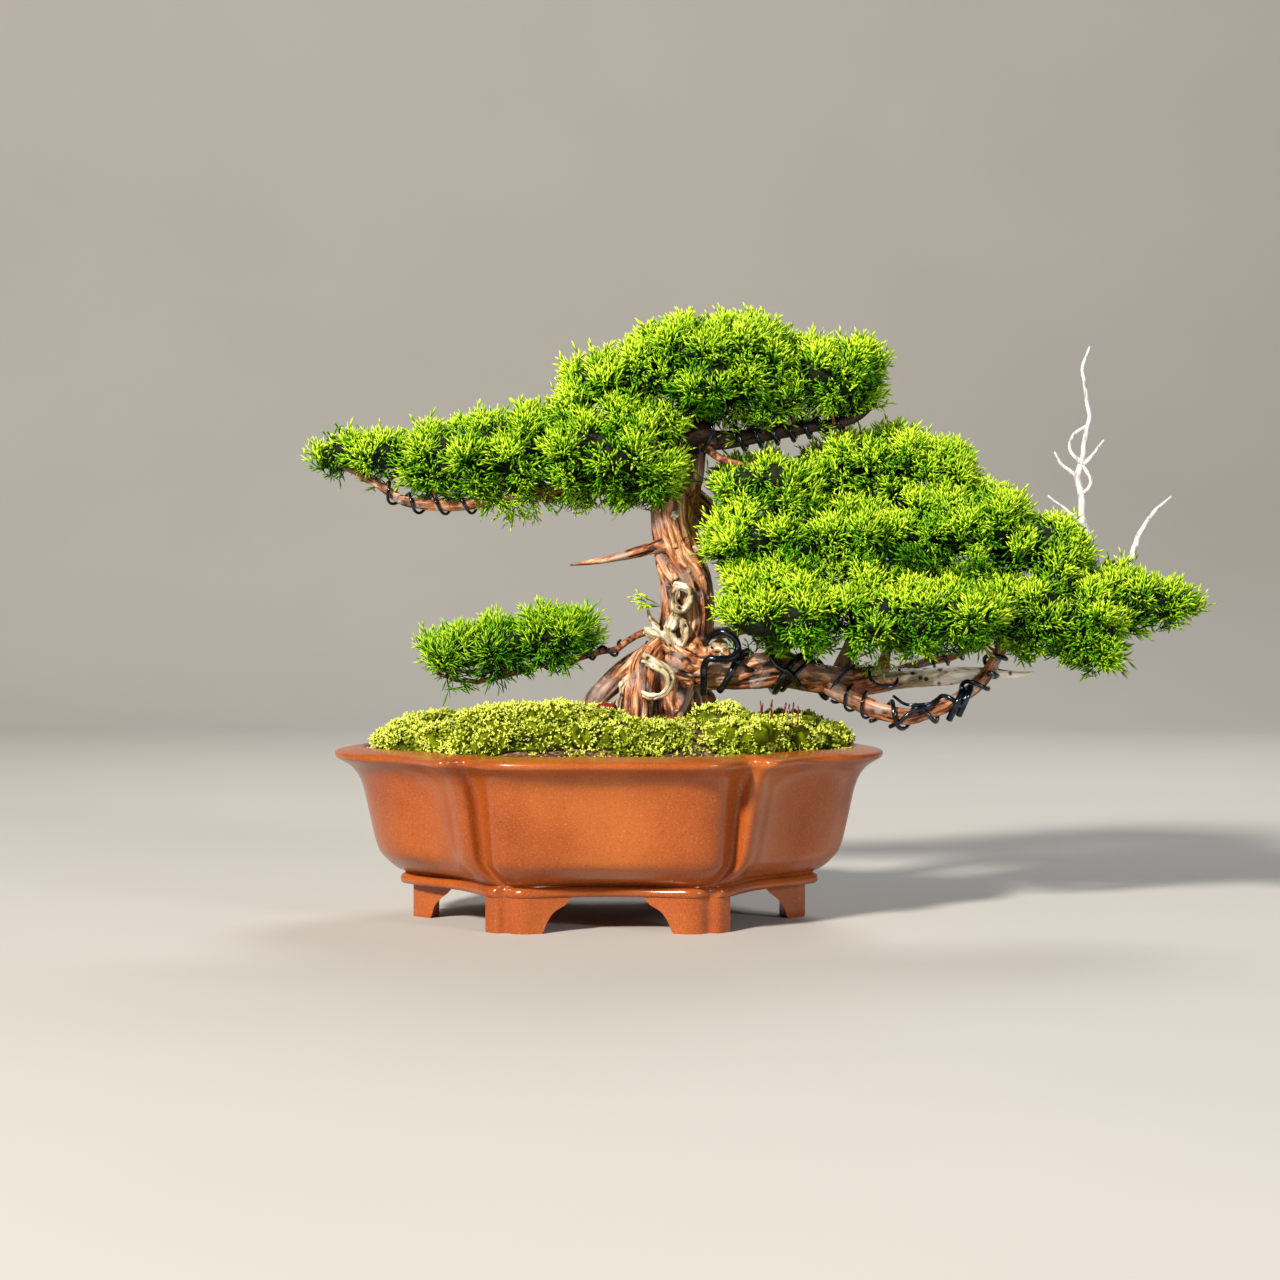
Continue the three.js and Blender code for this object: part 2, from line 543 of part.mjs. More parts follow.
const SOIL_SHARE = 0.485; // the soil's edge under the rim
const SOIL_EDGE = 117; // the height of that edge
const SOIL_SHRINK = 0.992; // the soil has drawn back from the wall as it dried
const WALL_GAP = 0.02; // between the soil and the wall, as a share of rim to base
const SCREEN_ROOM = [SCREEN_SIZE + 1, SCREEN_SIZE + 1, 4]; // the hollow over a screen
const CLIP_ROOM = [20, 3, 12]; // and over its clip's arch
const MOSS_ROOM = 60; // higher than any moss above the soil's edge

function soilBlank() {
  const wall = [...INNER_SECTION].reverse().slice(0, -2);
  const inside = wall.map(([share, z]) => ring(share + WALL_GAP, z + CLEARANCE, SOIL_SHRINK));
  const mound = [[SOIL_SHRINK, SOIL_EDGE], [0.75, 130], [0.45, 140], [0.2, 144]];
  const top = mound.map(([scale, z]) => ring(SOIL_SHARE, z, scale));
  return solidOf(loft([...inside, ...top]));
}

function soilSolid(blank, treeRoom) {
  const screenRoom = [1, -1].flatMap((side) => [
    boxSolid(side * DRAIN_X, 0, FLOOR_TOP, ...SCREEN_ROOM),
    boxSolid(side * DRAIN_X, 0, FLOOR_TOP, ...CLIP_ROOM),
  ]);
  const tieRoom = Object.values(TIES).map((path) => (
    solidOf(sweep(path, TIE_WIRE_RADIUS + 1.5 * CLEARANCE, LOOP_STEPS))));
  return blank.subtract(union([treeRoom, ...screenRoom, ...tieRoom]));
}

// Soft pieces: lumps joined into one body, cut clear of everything that they meet

function lumpSolid([x, y, z, length, depth, height], extra) {
  const lump = new THREE.IcosahedronGeometry(1, 1);
  lump.scale(length + extra, depth + extra, height + extra);
  return placed(lump, x, y, z);
}

function softSolids(table, cutters, trim = (solid) => solid) {
  const done = {};
  let taken = cutters;
  for (const [name, lumps] of Object.entries(table)) {
    const whole = trim(union(lumps.map((lump) => lumpSolid(lump, 0))));
    done[name] = largestPiece(whole.subtract(taken));
    taken = taken.add(union(lumps.map((lump) => lumpSolid(lump, 2 * CLEARANCE))));
  }
  return done;
}

// Materials

const CLAY = { color: 0x9a5230, roughness: 0.42, metalness: 0 };
const BARK = { color: 0x8a5a38, roughness: 0.85, metalness: 0 };
const WIRE = { color: 0x14161a, roughness: 0.3, metalness: 0.8 };
const TIE_WIRE = { color: 0xa0623c, roughness: 0.4, metalness: 0.9 };
const FOLIAGE = { color: 0x4f8a24, roughness: 0.7, metalness: 0 };
const MOSS_GREEN = { color: 0x7f9a33, roughness: 0.9, metalness: 0 };
const SOIL = { color: 0x4a3526, roughness: 0.95, metalness: 0 };
const SCREEN = { color: 0x1b1b1b, roughness: 0.5, metalness: 0 };

const bonsai = new THREE.Group();

function add(name, geometry, look) {
  const mesh = new THREE.Mesh(geometry, new THREE.MeshStandardMaterial(look));
  mesh.name = name;
  bonsai.add(mesh);
}

const treeRoom = treeSolid(CLEARANCE);
const sleeves = union(Object.values(WIRES).map(sleeve));
const blank = soilBlank();

add('pot', geometryOf(potSolid()), CLAY);
add('trunk_and_branches', geometryOf(treeSolid(0)), BARK);
add('soil', geometryOf(soilSolid(blank, treeRoom)), SOIL);

for (const [name, spec] of Object.entries(WIRES)) add(name, wireGeometry(spec), WIRE);

for (const [side, x] of [['left', -DRAIN_X], ['right', DRAIN_X]]) {
  add(`drain_screen_${side}`, geometryOf(screenSolid(x)), SCREEN);
  add(`drain_screen_clip_${side}`, sweep(clipPath(x), CLIP_WIRE_RADIUS, LOOP_STEPS), TIE_WIRE);
}
for (const [name, path] of Object.entries(TIES)) {
  add(name, sweep(path, TIE_WIRE_RADIUS, LOOP_STEPS), TIE_WIRE);
}

const pads = softSolids(PADS, treeRoom.add(sleeves));
for (const [name, solid] of Object.entries(pads)) add(name, geometryOf(solid), FOLIAGE);

const mossBounds = solidOf(extruded(outline(SOIL_SHARE + WALL_GAP), MOSS_ROOM))
  .translate([0, 0, SOIL_EDGE + CLEARANCE]);
const mossCutters = union([blank.translate([0, 0, CLEARANCE]), treeRoom, sleeves]);
const cushions = softSolids(MOSS, mossCutters, (solid) => solid.intersect(mossBounds));
for (const [name, solid] of Object.entries(cushions)) add(name, geometryOf(solid), MOSS_GREEN);

// The origin goes to the bottom centre of the whole bonsai
const bounds = new THREE.Box3().setFromObject(bonsai);
const centre = bounds.getCenter(new THREE.Vector3());
bonsai.position.set(-centre.x, -centre.y, -bounds.min.z);

export default bonsai;
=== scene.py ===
# %% [markdown]
# # A shimpaku juniper bonsai in a clay pot
# A juniper that has been trained for decades: a short upright trunk, one long low limb, bare
# bleached deadwood and layered pads of fine scale foliage, planted in moss in a lobed clay pot.
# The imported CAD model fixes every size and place. This lesson gives each piece its real surface:
# the pot is lofted again with smooth curves, the tree is grown together from its branches and
# carved like bark, and foliage and moss are built from thousands of small shoots.

import math

import bpy
import numpy as np
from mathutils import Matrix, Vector


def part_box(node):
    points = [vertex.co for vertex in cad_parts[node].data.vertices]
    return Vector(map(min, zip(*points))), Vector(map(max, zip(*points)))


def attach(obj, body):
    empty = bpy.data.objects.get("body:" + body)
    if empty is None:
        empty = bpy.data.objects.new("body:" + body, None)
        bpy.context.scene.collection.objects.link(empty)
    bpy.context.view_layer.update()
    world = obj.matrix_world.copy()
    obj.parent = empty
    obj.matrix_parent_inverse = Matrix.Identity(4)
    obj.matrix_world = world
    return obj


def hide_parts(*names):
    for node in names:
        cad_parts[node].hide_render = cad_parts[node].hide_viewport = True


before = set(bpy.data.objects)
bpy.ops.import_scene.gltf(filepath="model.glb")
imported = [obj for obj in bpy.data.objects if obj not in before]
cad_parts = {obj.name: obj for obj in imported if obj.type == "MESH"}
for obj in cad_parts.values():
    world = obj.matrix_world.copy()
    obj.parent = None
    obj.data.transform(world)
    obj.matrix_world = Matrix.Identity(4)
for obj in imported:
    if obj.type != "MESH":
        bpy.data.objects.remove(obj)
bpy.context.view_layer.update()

# %% [markdown]
# ## Measures and small tools
# Everything on this tree is described in millimetres round the middle of the pot, because the pot
# is what one measures from when planting: X along the pot, Y away from the front, Z up from the
# surface that the feet stand on. One function turns such points into the frame's metres.

# %% Measures and small tools
MM = 0.001
UP = np.array([0.0, 0.0, 1.0])
POT_LOW, POT_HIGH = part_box("pot")
POT_MIDDLE = np.array([
    (POT_LOW.x + POT_HIGH.x) / 2,
    (POT_LOW.y + POT_HIGH.y) / 2,
    POT_LOW.z,
])


def in_frame(points):
    return np.asarray(points, float) * MM + POT_MIDDLE


def unit(vectors):
    return vectors / np.maximum(np.linalg.norm(vectors, axis=-1, keepdims=True), 1e-9)


def smooth_step(values, low, high):
    share = np.clip((values - low) / (high - low), 0, 1)
    return share * share * (3 - 2 * share)


def select_only(*objects):
    bpy.ops.object.select_all(action="DESELECT")
    for piece in objects:
        piece.select_set(True)
    bpy.context.view_layer.objects.active = objects[0]


def corners_of(mesh):
    """A mesh's corners in millimetres round the middle of the pot."""
    corners = np.empty(len(mesh.vertices) * 3)
    mesh.vertices.foreach_get("co", corners)
    return (corners.reshape(-1, 3) - POT_MIDDLE) / MM


def normals_of(mesh):
    normals = np.empty(len(mesh.vertices) * 3)
    mesh.vertices.foreach_get("normal", normals)
    return normals.reshape(-1, 3)


def set_corners(mesh, points):
    mesh.vertices.foreach_set("co", in_frame(points).ravel())
    mesh.update()


def paint_attribute(mesh, name, values):
    """Stores a number or a vector for each corner, for the material to read."""
    vector = values.ndim == 2
    kind, field = ("FLOAT_VECTOR", "vector") if vector else ("FLOAT", "value")
    attribute = mesh.attributes.new(name, kind, "POINT")
    attribute.data.foreach_set(field, values.astype(np.float32).ravel())


def mesh_piece(name, points, triangles, **attributes):
    """A piece from numpy arrays, which is quick enough for a hundred thousand triangles."""
    mesh = bpy.data.meshes.new(name)
    mesh.vertices.add(len(points))
    mesh.vertices.foreach_set("co", in_frame(points).ravel())
    mesh.loops.add(triangles.size)
    mesh.loops.foreach_set("vertex_index", triangles.astype(np.int32).ravel())
    mesh.polygons.add(len(triangles))
    mesh.polygons.foreach_set("loop_start", np.arange(0, triangles.size, 3, dtype=np.int32))
    mesh.update(calc_edges=True)
    for key, values in attributes.items():
        paint_attribute(mesh, key, values)
    piece = bpy.data.objects.new(name, mesh)
    bpy.context.scene.collection.objects.link(piece)
    return piece


def triangles_of(piece):
    return len(piece.data.loops) - 2 * len(piece.data.polygons)


def finish_piece(piece, material, slot, *nodes, smooth=False):
    """Gives a finished piece its material and its body, and hides the CAD nodes it stands for; the
    slot is not used.
    """
    if smooth:
        select_only(piece)
        bpy.ops.object.shade_smooth()
    piece.data.materials.clear()
    piece.data.materials.append(material)
    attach(piece, "root")
    if nodes:
        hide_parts(*nodes)
    print(piece.name, triangles_of(piece), "triangles")
    return piece


print("the middle of the pot is at", POT_MIDDLE)

# %% [markdown]
# ## Noise that can follow the wood
# Bark and weathered wood are rough along the grain and not across it. Blender's own textures can't
# follow a bent branch, so this small value noise is worked out in numpy on any coordinates,
# including ones that run along a branch.

# %% Noise that can follow the wood
# large odd numbers that scramble a cell's place into a value with no pattern in it
CELL_FACTORS = (374761393, 668265263, 974634777)
SEED_FACTOR = 144665
SCRAMBLE = 1274126177
LOW_32_BITS = 0xFFFFFFFF
LOW_16_BITS = 0xFFFF


def corner_value(cell, seed):
    mixed = (cell * CELL_FACTORS).sum(axis=-1) + seed * SEED_FACTOR
    mixed &= LOW_32_BITS
    mixed = ((mixed ^ (mixed >> 13)) * SCRAMBLE) & LOW_32_BITS
    return ((mixed ^ (mixed >> 16)) & LOW_16_BITS) / LOW_16_BITS


def value_noise(points, seed=0):
    """Smooth noise from 0 to 1, with one value to each unit cell."""
    cell = np.floor(points).astype(np.int64)
    share = points - cell
    share = share * share * (3 - 2 * share)
    total = np.zeros(len(points))
    for corner in np.ndindex(2, 2, 2):
        weight = np.prod(np.where(corner, share, 1 - share), axis=1)
        total += weight * corner_value(cell + np.array(corner), seed)
    return total


def layered_noise(points, seed=0, layers=3):
    """The same noise at finer and finer sizes, from 0 to 1."""
    total = np.zeros(len(points))
    strength = 0.0
    for layer in range(layers):
        total += value_noise(points * 2**layer, seed + layer) / 2**layer
        strength += 1 / 2**layer
    return total / strength


print("noise at three places:", value_noise(np.array([[0.2, 0, 0], [4.5, 1, 2], [9.1, 3, 7]])))

# %% [markdown]
# ## Nodes and colours
# A material is a small network of nodes. One function adds a node with its settings, its links and,
# for a colour ramp, its stops, and hands back the output that the next node reads. Colours are
# written as they look on a screen, as sRGB hex values, and turned to the linear numbers that the
# renderer works in. Pattern sizes are in millimetres. Many of the small finishes need only one
# noise, whose blotches give the colour, the shine and the relief together, so they share a function.

# %% Nodes and colours
# a Mix node for colours hands back its output 2; its inputs are 0, the share, and 6 and 7, the colours
COLOUR_MIX = {"data_type": "RGBA", "out": 2}


def linear(hex_colour):
    channels = [int(hex_colour[i : i + 2], 16) / 255 for i in (1, 3, 5)]
    return [*(c / 12.92 if c <= 0.04045 else ((c + 0.055) / 1.055) ** 2.4 for c in channels), 1]


def per_metre(size_mm):
    """The texture scale that makes one feature of a pattern this many millimetres across."""
    return 1 / (size_mm * MM)


def add_node(tree, kind, settings=None, links=None, stops=None, out=0, **fields):
    node = tree.nodes.new(kind)
    for name, value in fields.items():
        setattr(node, name, value)
    for socket, value in (settings or {}).items():
        node.inputs[socket].default_value = value
    for socket, source in (links or {}).items():
        tree.links.new(source, node.inputs[socket])
    if stops:
        ramp = node.color_ramp
        while len(ramp.elements) < len(stops):
            ramp.elements.new(0.5)
        for element, (place, colour) in zip(ramp.elements, stops):
            element.position = place
            element.color = linear(colour)
    return node.outputs[out]


def new_material(name, **settings):
    """A material with its Principled shader's even values set; returns it and its tree."""
    material = bpy.data.materials.new(name)
    material.use_nodes = True
    shader = material.node_tree.nodes["Principled BSDF"]
    for socket, value in settings.items():
        shader.inputs[socket.replace("_", " ")].default_value = value
    return material, material.node_tree


def to_shader(tree, **sources):
    """Links outputs to the shader's sockets, whose names are given with underscores."""
    for socket, source in sources.items():
        tree.links.new(source, tree.nodes["Principled BSDF"].inputs[socket.replace("_", " ")])


def mottled(name, size, detail, stops, shine=None, relief=None, stretch=(1, 1, 1), **settings):
    """A finish from one noise: shine is its roughness from and to, relief its strength and depth."""
    material, tree = new_material(name, **settings)
    place = add_node(tree, "ShaderNodeTexCoord", out="Object")
    drawn_out = add_node(tree, "ShaderNodeMapping", {"Scale": stretch}, {"Vector": place})
    blotches = add_node(tree, "ShaderNodeTexNoise", {"Scale": per_metre(size), "Detail": detail},
                        {"Vector": drawn_out})
    to_shader(tree, Base_Color=add_node(tree, "ShaderNodeValToRGB", links={"Fac": blotches},
                                        stops=stops))
    if shine:
        to_shader(tree, Roughness=add_node(tree, "ShaderNodeMapRange",
                                           {"To Min": shine[0], "To Max": shine[1]},
                                           {"Value": blotches}))
    if relief:
        to_shader(tree, Normal=add_node(tree, "ShaderNodeBump",
                                        {"Strength": relief[0], "Distance": relief[1] * MM},
                                        {"Height": blotches}))
    return material


print("warm clay in linear light:", linear("#a0613a"))

# %% [markdown]
# ## Clay
# The pot is unglazed stoneware: iron-rich clay, pressed and scraped in a mould, burnished while
# leather-hard and fired without a glaze. That gives a deep orange-brown with a satin shine, soft
# clouds of lighter and darker iron, and a dense fine grit of about 1 mm that hardly stands out.

# %% Clay
CLAY, tree = new_material("burnished_unglazed_stoneware", IOR=1.5)
place = add_node(tree, "ShaderNodeTexCoord", out="Object")
clouds, strokes, grit = (
    add_node(tree, "ShaderNodeTexNoise", {"Scale": per_metre(size), "Detail": detail},
             {"Vector": place}) for size, detail in [(70, 5.0), (14, 3.0), (1.1, 3.0)])
body = add_node(tree, "ShaderNodeValToRGB", links={"Fac": clouds},
                stops=[(0.32, "#8c4014"), (0.5, "#9c4c19"), (0.68, "#ab5a21")])
# pale grains where the grit is high and dark ones where it is low: colour, from, to and strength
for colour, low, high, strength in [("#c58a5c", 0.56, 0.74, 0.35), ("#4d2510", 0.42, 0.3, 0.4)]:
    share = add_node(tree, "ShaderNodeMapRange",
                     {"From Min": low, "From Max": high, "To Max": strength}, {"Value": grit})
    body = add_node(tree, "ShaderNodeMix", {7: linear(colour)}, {0: share, 6: body}, **COLOUR_MIX)
satin = add_node(tree, "ShaderNodeMapRange", {"To Min": 0.16, "To Max": 0.32}, {"Value": clouds})
waves = add_node(tree, "ShaderNodeBump", {"Strength": 0.3, "Distance": 0.8 * MM},
                 {"Height": strokes})
grain = add_node(tree, "ShaderNodeBump", {"Strength": 0.2, "Distance": 0.2 * MM},
                 {"Height": grit, "Normal": waves})
to_shader(tree, Base_Color=body, Roughness=satin, Normal=grain)
print("made", CLAY.name)

# %% [markdown]
# ## Bark and deadwood
# Juniper bark peels in long strips: tan outside, orange and cinnamon where a strip has come away,
# nearly black in the fissures. Where the bark is gone the wood is bleached cream, with checks along
# the grain and rot holes 2 to 4 mm wide, painted dark for rotten wood and for the painted shade
# inside them. Each branch carries its grain coordinate in millimetres, already drawn out along the
# branch. The attribute bare says how much of the bark is gone, and a second attribute says where bark
# is darkened by painted shade, standing in for the crown's shadow, and bare wood by algae.

# %% Bark and deadwood
STRIP_WIDTH = 4.4  # millimetres, as the grain coordinate is
BARK, tree = new_material("peeling_juniper_bark", IOR=1.45, Roughness=0.5)
along_grain = add_node(tree, "ShaderNodeAttribute", out="Vector", attribute_name="grain")
bare = add_node(tree, "ShaderNodeAttribute", out="Fac", attribute_name="bare")
painted_shade_and_algae = add_node(tree, "ShaderNodeAttribute", out="Fac", attribute_name="painted_shade_and_algae")
place = add_node(tree, "ShaderNodeTexCoord", out="Object")
strips = add_node(tree, "ShaderNodeTexNoise",
                  {"Scale": 1 / STRIP_WIDTH, "Detail": 8.0, "Roughness": 0.68, "Distortion": 0.6},
                  {"Vector": along_grain})
bark = add_node(tree, "ShaderNodeValToRGB", links={"Fac": strips},
                stops=[(0.4, "#120703"), (0.45, "#5a2c14"), (0.5, "#9c5a2e"), (0.57, "#c98d60"),
                       (0.68, "#f8d8b6")])
patches = add_node(tree, "ShaderNodeTexNoise", {"Scale": per_metre(13), "Detail": 4.0},
                   {"Vector": place})
greyed = add_node(tree, "ShaderNodeMapRange", {"From Min": 0.5, "From Max": 0.62, "To Max": 0.65},
                  {"Value": patches})
old_bark = add_node(tree, "ShaderNodeMix", {7: linear("#a38f86")}, {0: greyed, 6: bark},
                    **COLOUR_MIX)
# painted shade: the bark is multiplied darker towards the top of the trunk, where the crown shades it
shaded = add_node(tree, "ShaderNodeMix", {7: linear("#5a4c40")}, {0: painted_shade_and_algae, 6: old_bark},
                  blend_type="MULTIPLY", **COLOUR_MIX)
wood = add_node(tree, "ShaderNodeValToRGB", links={"Fac": strips},
                stops=[(0.34, "#2a1d12"), (0.41, "#96795a"), (0.47, "#d8c5a6"), (0.58, "#f5ebda")])
weathered = add_node(tree, "ShaderNodeMix", {7: linear("#bdbba2")}, {0: painted_shade_and_algae, 6: wood},
                     blend_type="MULTIPLY", **COLOUR_MIX)
# the cells are 7 mm apart, and only the middle of each is a hole, painted near black: rotten wood and
# the painted shade inside it
rot = add_node(tree, "ShaderNodeTexVoronoi", {"Scale": per_metre(7)}, {"Vector": place})
sound = add_node(tree, "ShaderNodeMapRange", {"From Min": 0.16, "From Max": 0.3}, {"Value": rot})
holed = add_node(tree, "ShaderNodeMix", {6: linear("#1c100a")}, {0: sound, 7: weathered},
                 **COLOUR_MIX)
both = add_node(tree, "ShaderNodeMix", links={0: bare, 6: shaded, 7: holed}, **COLOUR_MIX)
ridges = add_node(tree, "ShaderNodeBump", {"Strength": 0.85, "Distance": 1.1 * MM},
                  {"Height": strips})
sunk = add_node(tree, "ShaderNodeBump", {"Strength": 0.6, "Distance": 1.2 * MM},
                {"Height": sound, "Normal": ridges})
to_shader(tree, Base_Color=both, Normal=sunk)
print("made", BARK.name)

# %% [markdown]
# ## Limed wood
# The upright dead branches on the right have been treated with lime sulphur, which bleaches them
# chalk white. Only faint grey shadows are left in the fine checks, about 2 mm apart and drawn out
# upwards.

# %% Limed wood
LIMED = mottled("limed_deadwood", 2, 4.0, [(0.34, "#8d8985"), (0.46, "#c9c6c4"), (0.7, "#e2e0de")],
                relief=(0.5, 0.6), stretch=(1, 1, 0.25), Roughness=0.6, IOR=1.45)
print("made", LIMED.name)

# %% [markdown]
# ## Foliage, twigs and moss
# Shimpaku foliage is made of soft scale leaves pressed into round cords. New tips are a bright
# yellow-green and older cords mid green; the foot of each cord is painted nearly black, as painted
# shade for the inside of a pad. Two attributes carry that: tip runs from 0 at a cord's foot to 1 at
# its end, and tone is a number for each shoot that holds its own variation and, on the pads and the
# moss, painted light and shade from where it stands. Moss is the same idea at a quarter of the size,
# with dry silvery ends. A bloom of wax scatters the light on both, so their shine is weak.

# %% Foliage, twigs and moss
CORD_STOPS = (0.1, 0.45, 1.0)  # the shares of a cord's length that its three colours stand for


def shoot_material(name, fresh_and_lit, dull_and_shaded, roughness):
    """Two ramps along a shoot, a fresh lit one and a dull one in painted shade, mixed by its tone."""
    material, tree = new_material(name, Roughness=roughness, IOR=1.3, Specular_IOR_Level=0.2)
    tip = add_node(tree, "ShaderNodeAttribute", out="Fac", attribute_name="tip")
    tone = add_node(tree, "ShaderNodeAttribute", out="Fac", attribute_name="tone")
    dull_shaded_ramp, fresh_lit_ramp = (add_node(tree, "ShaderNodeValToRGB", links={"Fac": tip},
                           stops=list(zip(CORD_STOPS, colours))) for colours in (dull_and_shaded, fresh_and_lit))
    to_shader(tree, Base_Color=add_node(tree, "ShaderNodeMix", links={0: tone, 6: dull_shaded_ramp, 7: fresh_lit_ramp},
                                        **COLOUR_MIX))
    return material


# the near-black first stop of each ramp is painted shade at the foot of the cords
FOLIAGE = shoot_material("scale_foliage", ("#061b01", "#58a402", "#ecff40"),
                         ("#010600", "#0f3c01", "#68b40a"), 0.5)
MOSS = shoot_material("cushion_moss", ("#2e3a02", "#a8ba0c", "#fcff80"),
                      ("#100c00", "#405002", "#98aa0a"), 0.85)
TWIG = mottled("young_juniper_bark", 3, 5.0, [(0.35, "#2c140c"), (0.5, "#7d442a"), (0.64, "#ae7a54")],
               relief=(0.8, 0.6), Roughness=0.8, IOR=1.45)
# old brown cords and twigs deep inside a pad, coloured nearly black as painted shade
THATCH = mottled("shaded_foliage_thatch", 5, 6.0,
                 [(0.4, "#060c03"), (0.55, "#15240a"), (0.7, "#2c2212")],
                 relief=(1.0, 4), Roughness=0.95, IOR=1.4)
print("made", FOLIAGE.name, MOSS.name, TWIG.name, THATCH.name)

# %% [markdown]
# ## Wire, soil and the small fittings
# Training wire is soft aluminium, anodised nearly black, so that it is a dark metal with a clear
# highlight. The tie wires and clips under the soil are the same metal anodised brown, and the
# screens are black plastic mesh. The soil is a mix of fired clay grains 2 to 4 mm across.

# %% Wire, soil and the small fittings
WIRE = mottled("anodised_aluminium_black", 6, 4.0, [(0.4, "#262b33"), (0.75, "#525c6a")],
               shine=(0.1, 0.26), Metallic=0.9)
TIE_WIRE = mottled("anodised_aluminium_brown", 5, 4.0, [(0.4, "#6d3f22"), (0.7, "#a8683f")],
                   shine=(0.25, 0.5), Metallic=0.9)
SCREEN = mottled("moulded_polyethylene_black", 4, 3.0, [(0.5, "#141414"), (0.8, "#3a352e")],
                 shine=(0.45, 0.7), IOR=1.5)

SOIL, tree = new_material("fired_clay_granules", Roughness=0.9, IOR=1.45)
place = add_node(tree, "ShaderNodeTexCoord", out="Object")
grains = add_node(tree, "ShaderNodeTexVoronoi", {"Scale": per_metre(3)}, {"Vector": place})
colours = add_node(tree, "ShaderNodeValToRGB", links={"Fac": grains.node.outputs["Color"]},
                   stops=[(0.2, "#2c1c12"), (0.5, "#5a3d28"), (0.8, "#8a6a4c")])
bumps = add_node(tree, "ShaderNodeBump", {"Strength": 1.0, "Distance": 2 * MM},
                 {"Height": grains}, invert=True)
to_shader(tree, Base_Color=colours, Normal=bumps)

BELOW_THE_MOSS = {"soil": SOIL}
for side in ("left", "right"):
    BELOW_THE_MOSS[f"drain_screen_{side}"] = SCREEN
    BELOW_THE_MOSS[f"drain_screen_clip_{side}"] = TIE_WIRE
    BELOW_THE_MOSS[f"tie_wire_{side}"] = TIE_WIRE
for name, material in BELOW_THE_MOSS.items():
    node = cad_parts[name]
    node.data.materials.clear()
    node.data.materials.append(material)
print("made", WIRE.name, TIE_WIRE.name, SCREEN.name, SOIL.name)

# %% [markdown]
# ## The pot's curves
# A potter makes such a pot by pressing clay into a mould, so its corners are soft and its wall runs
# in one curve from lip to base. The outlines are the same as the CAD model's, one quarter each from
# the middle of the long side to the tip of the short one, but a smooth curve is drawn through them.

# %% The pot's curves
FOOT_HEIGHT = 24
FLOOR_TOP = 36
BELLY_SHARE = 0.65
SHARP_FROM, SHARP_TO = 0.1, 0.75  # the shares over which the corners grow sharper
RIM_QUARTER = [
    (0, 150), (30, 151), (56, 150), (73, 147), (85, 137), (96, 113), (109, 131), (120, 119),
    (131, 91), (149, 76), (170, 67), (186, 46), (194, 22), (196, 0),
]
BELLY_QUARTER = [
    (0, 117), (25, 119), (47, 119), (64, 118), (76, 112), (82, 97), (91, 102), (98, 94),
    (106, 76), (121, 61), (140, 49), (154, 33), (162, 15), (164, 0),
]
BASE_QUARTER = [
    (0, 87), (24, 89), (42, 94), (54, 98), (62, 97), (69, 92), (75, 93), (83, 86),
    (92, 67), (104, 47), (118, 32), (132, 20), (142, 9), (147, 0),
]


def quarter_at(share):
    upper = share < BELLY_SHARE
    start, end = (RIM_QUARTER, BELLY_QUARTER) if upper else (BELLY_QUARTER, BASE_QUARTER)
    mix = share / BELLY_SHARE if upper else (share - BELLY_SHARE) / (1 - BELLY_SHARE)
    return np.array(start) * (1 - mix) + np.array(end) * mix


def soft_curve(points, steps):
    """A closed curve that only leans towards its points, so that every corner is rounded."""
    share = (np.arange(steps) / steps)[:, None]
    before, start, end, after = (np.roll(points, shift, axis=0)[:, None] for shift in (1, 0, -1, -2))
    curve = (
        before * (1 - share) ** 3
        + start * (3 * share**3 - 6 * share**2 + 4)
        + end * (-3 * share**3 + 3 * share**2 + 3 * share + 1)
        + after * share**3
    )
    return (curve / 6).reshape(-1, 2)


def curve_through(points, steps, closed=False):
    """A smooth curve through the points, with steps stretches between each two."""
    points = np.asarray(points, float)
    if closed:
        padded = np.vstack([points[-1:], points, points[:2]])
    else:
        padded = np.vstack([2 * points[0] - points[1], points, 2 * points[-1] - points[-2]])
    share = (np.arange(steps) / steps)[:, None]
    stretches = []
    for before, start, end, after in zip(padded, padded[1:], padded[2:], padded[3:]):
        stretches.append(0.5 * (
            2 * start
            + (end - before) * share
            + (2 * before - 5 * start + 4 * end - after) * share**2
            + (3 * start - before - 3 * end + after) * share**3
        ))
    if not closed:
        stretches.append(points[-1:])
    return np.vstack(stretches)


def outline(share, steps=4):
    """The whole outline, counter-clockwise from the tip of the right end; sharper at the base."""
    quarter = quarter_at(share)
    rear = np.vstack([quarter[::-1], quarter[1:] * (-1, 1)])
    front = rear[1:-1][::-1] * (1, -1)
    points = np.vstack([rear, front])
    sharpness = smooth_step(share, SHARP_FROM, SHARP_TO)
    soft, sharp = soft_curve(points, steps), curve_through(points, steps, closed=True)
    return soft * (1 - sharpness) + sharp * sharpness


print("the rim's outline has", len(outline(0)), "points")

# %% [markdown]
# ## The bowl
# The bowl is one skin. A grid primitive has exactly the rows and columns that are needed, so it is
# wrapped round: each column follows the outline and each row the section, from the middle of the
# base out, up the wall, over the lip and down inside. Merging closes the seam.

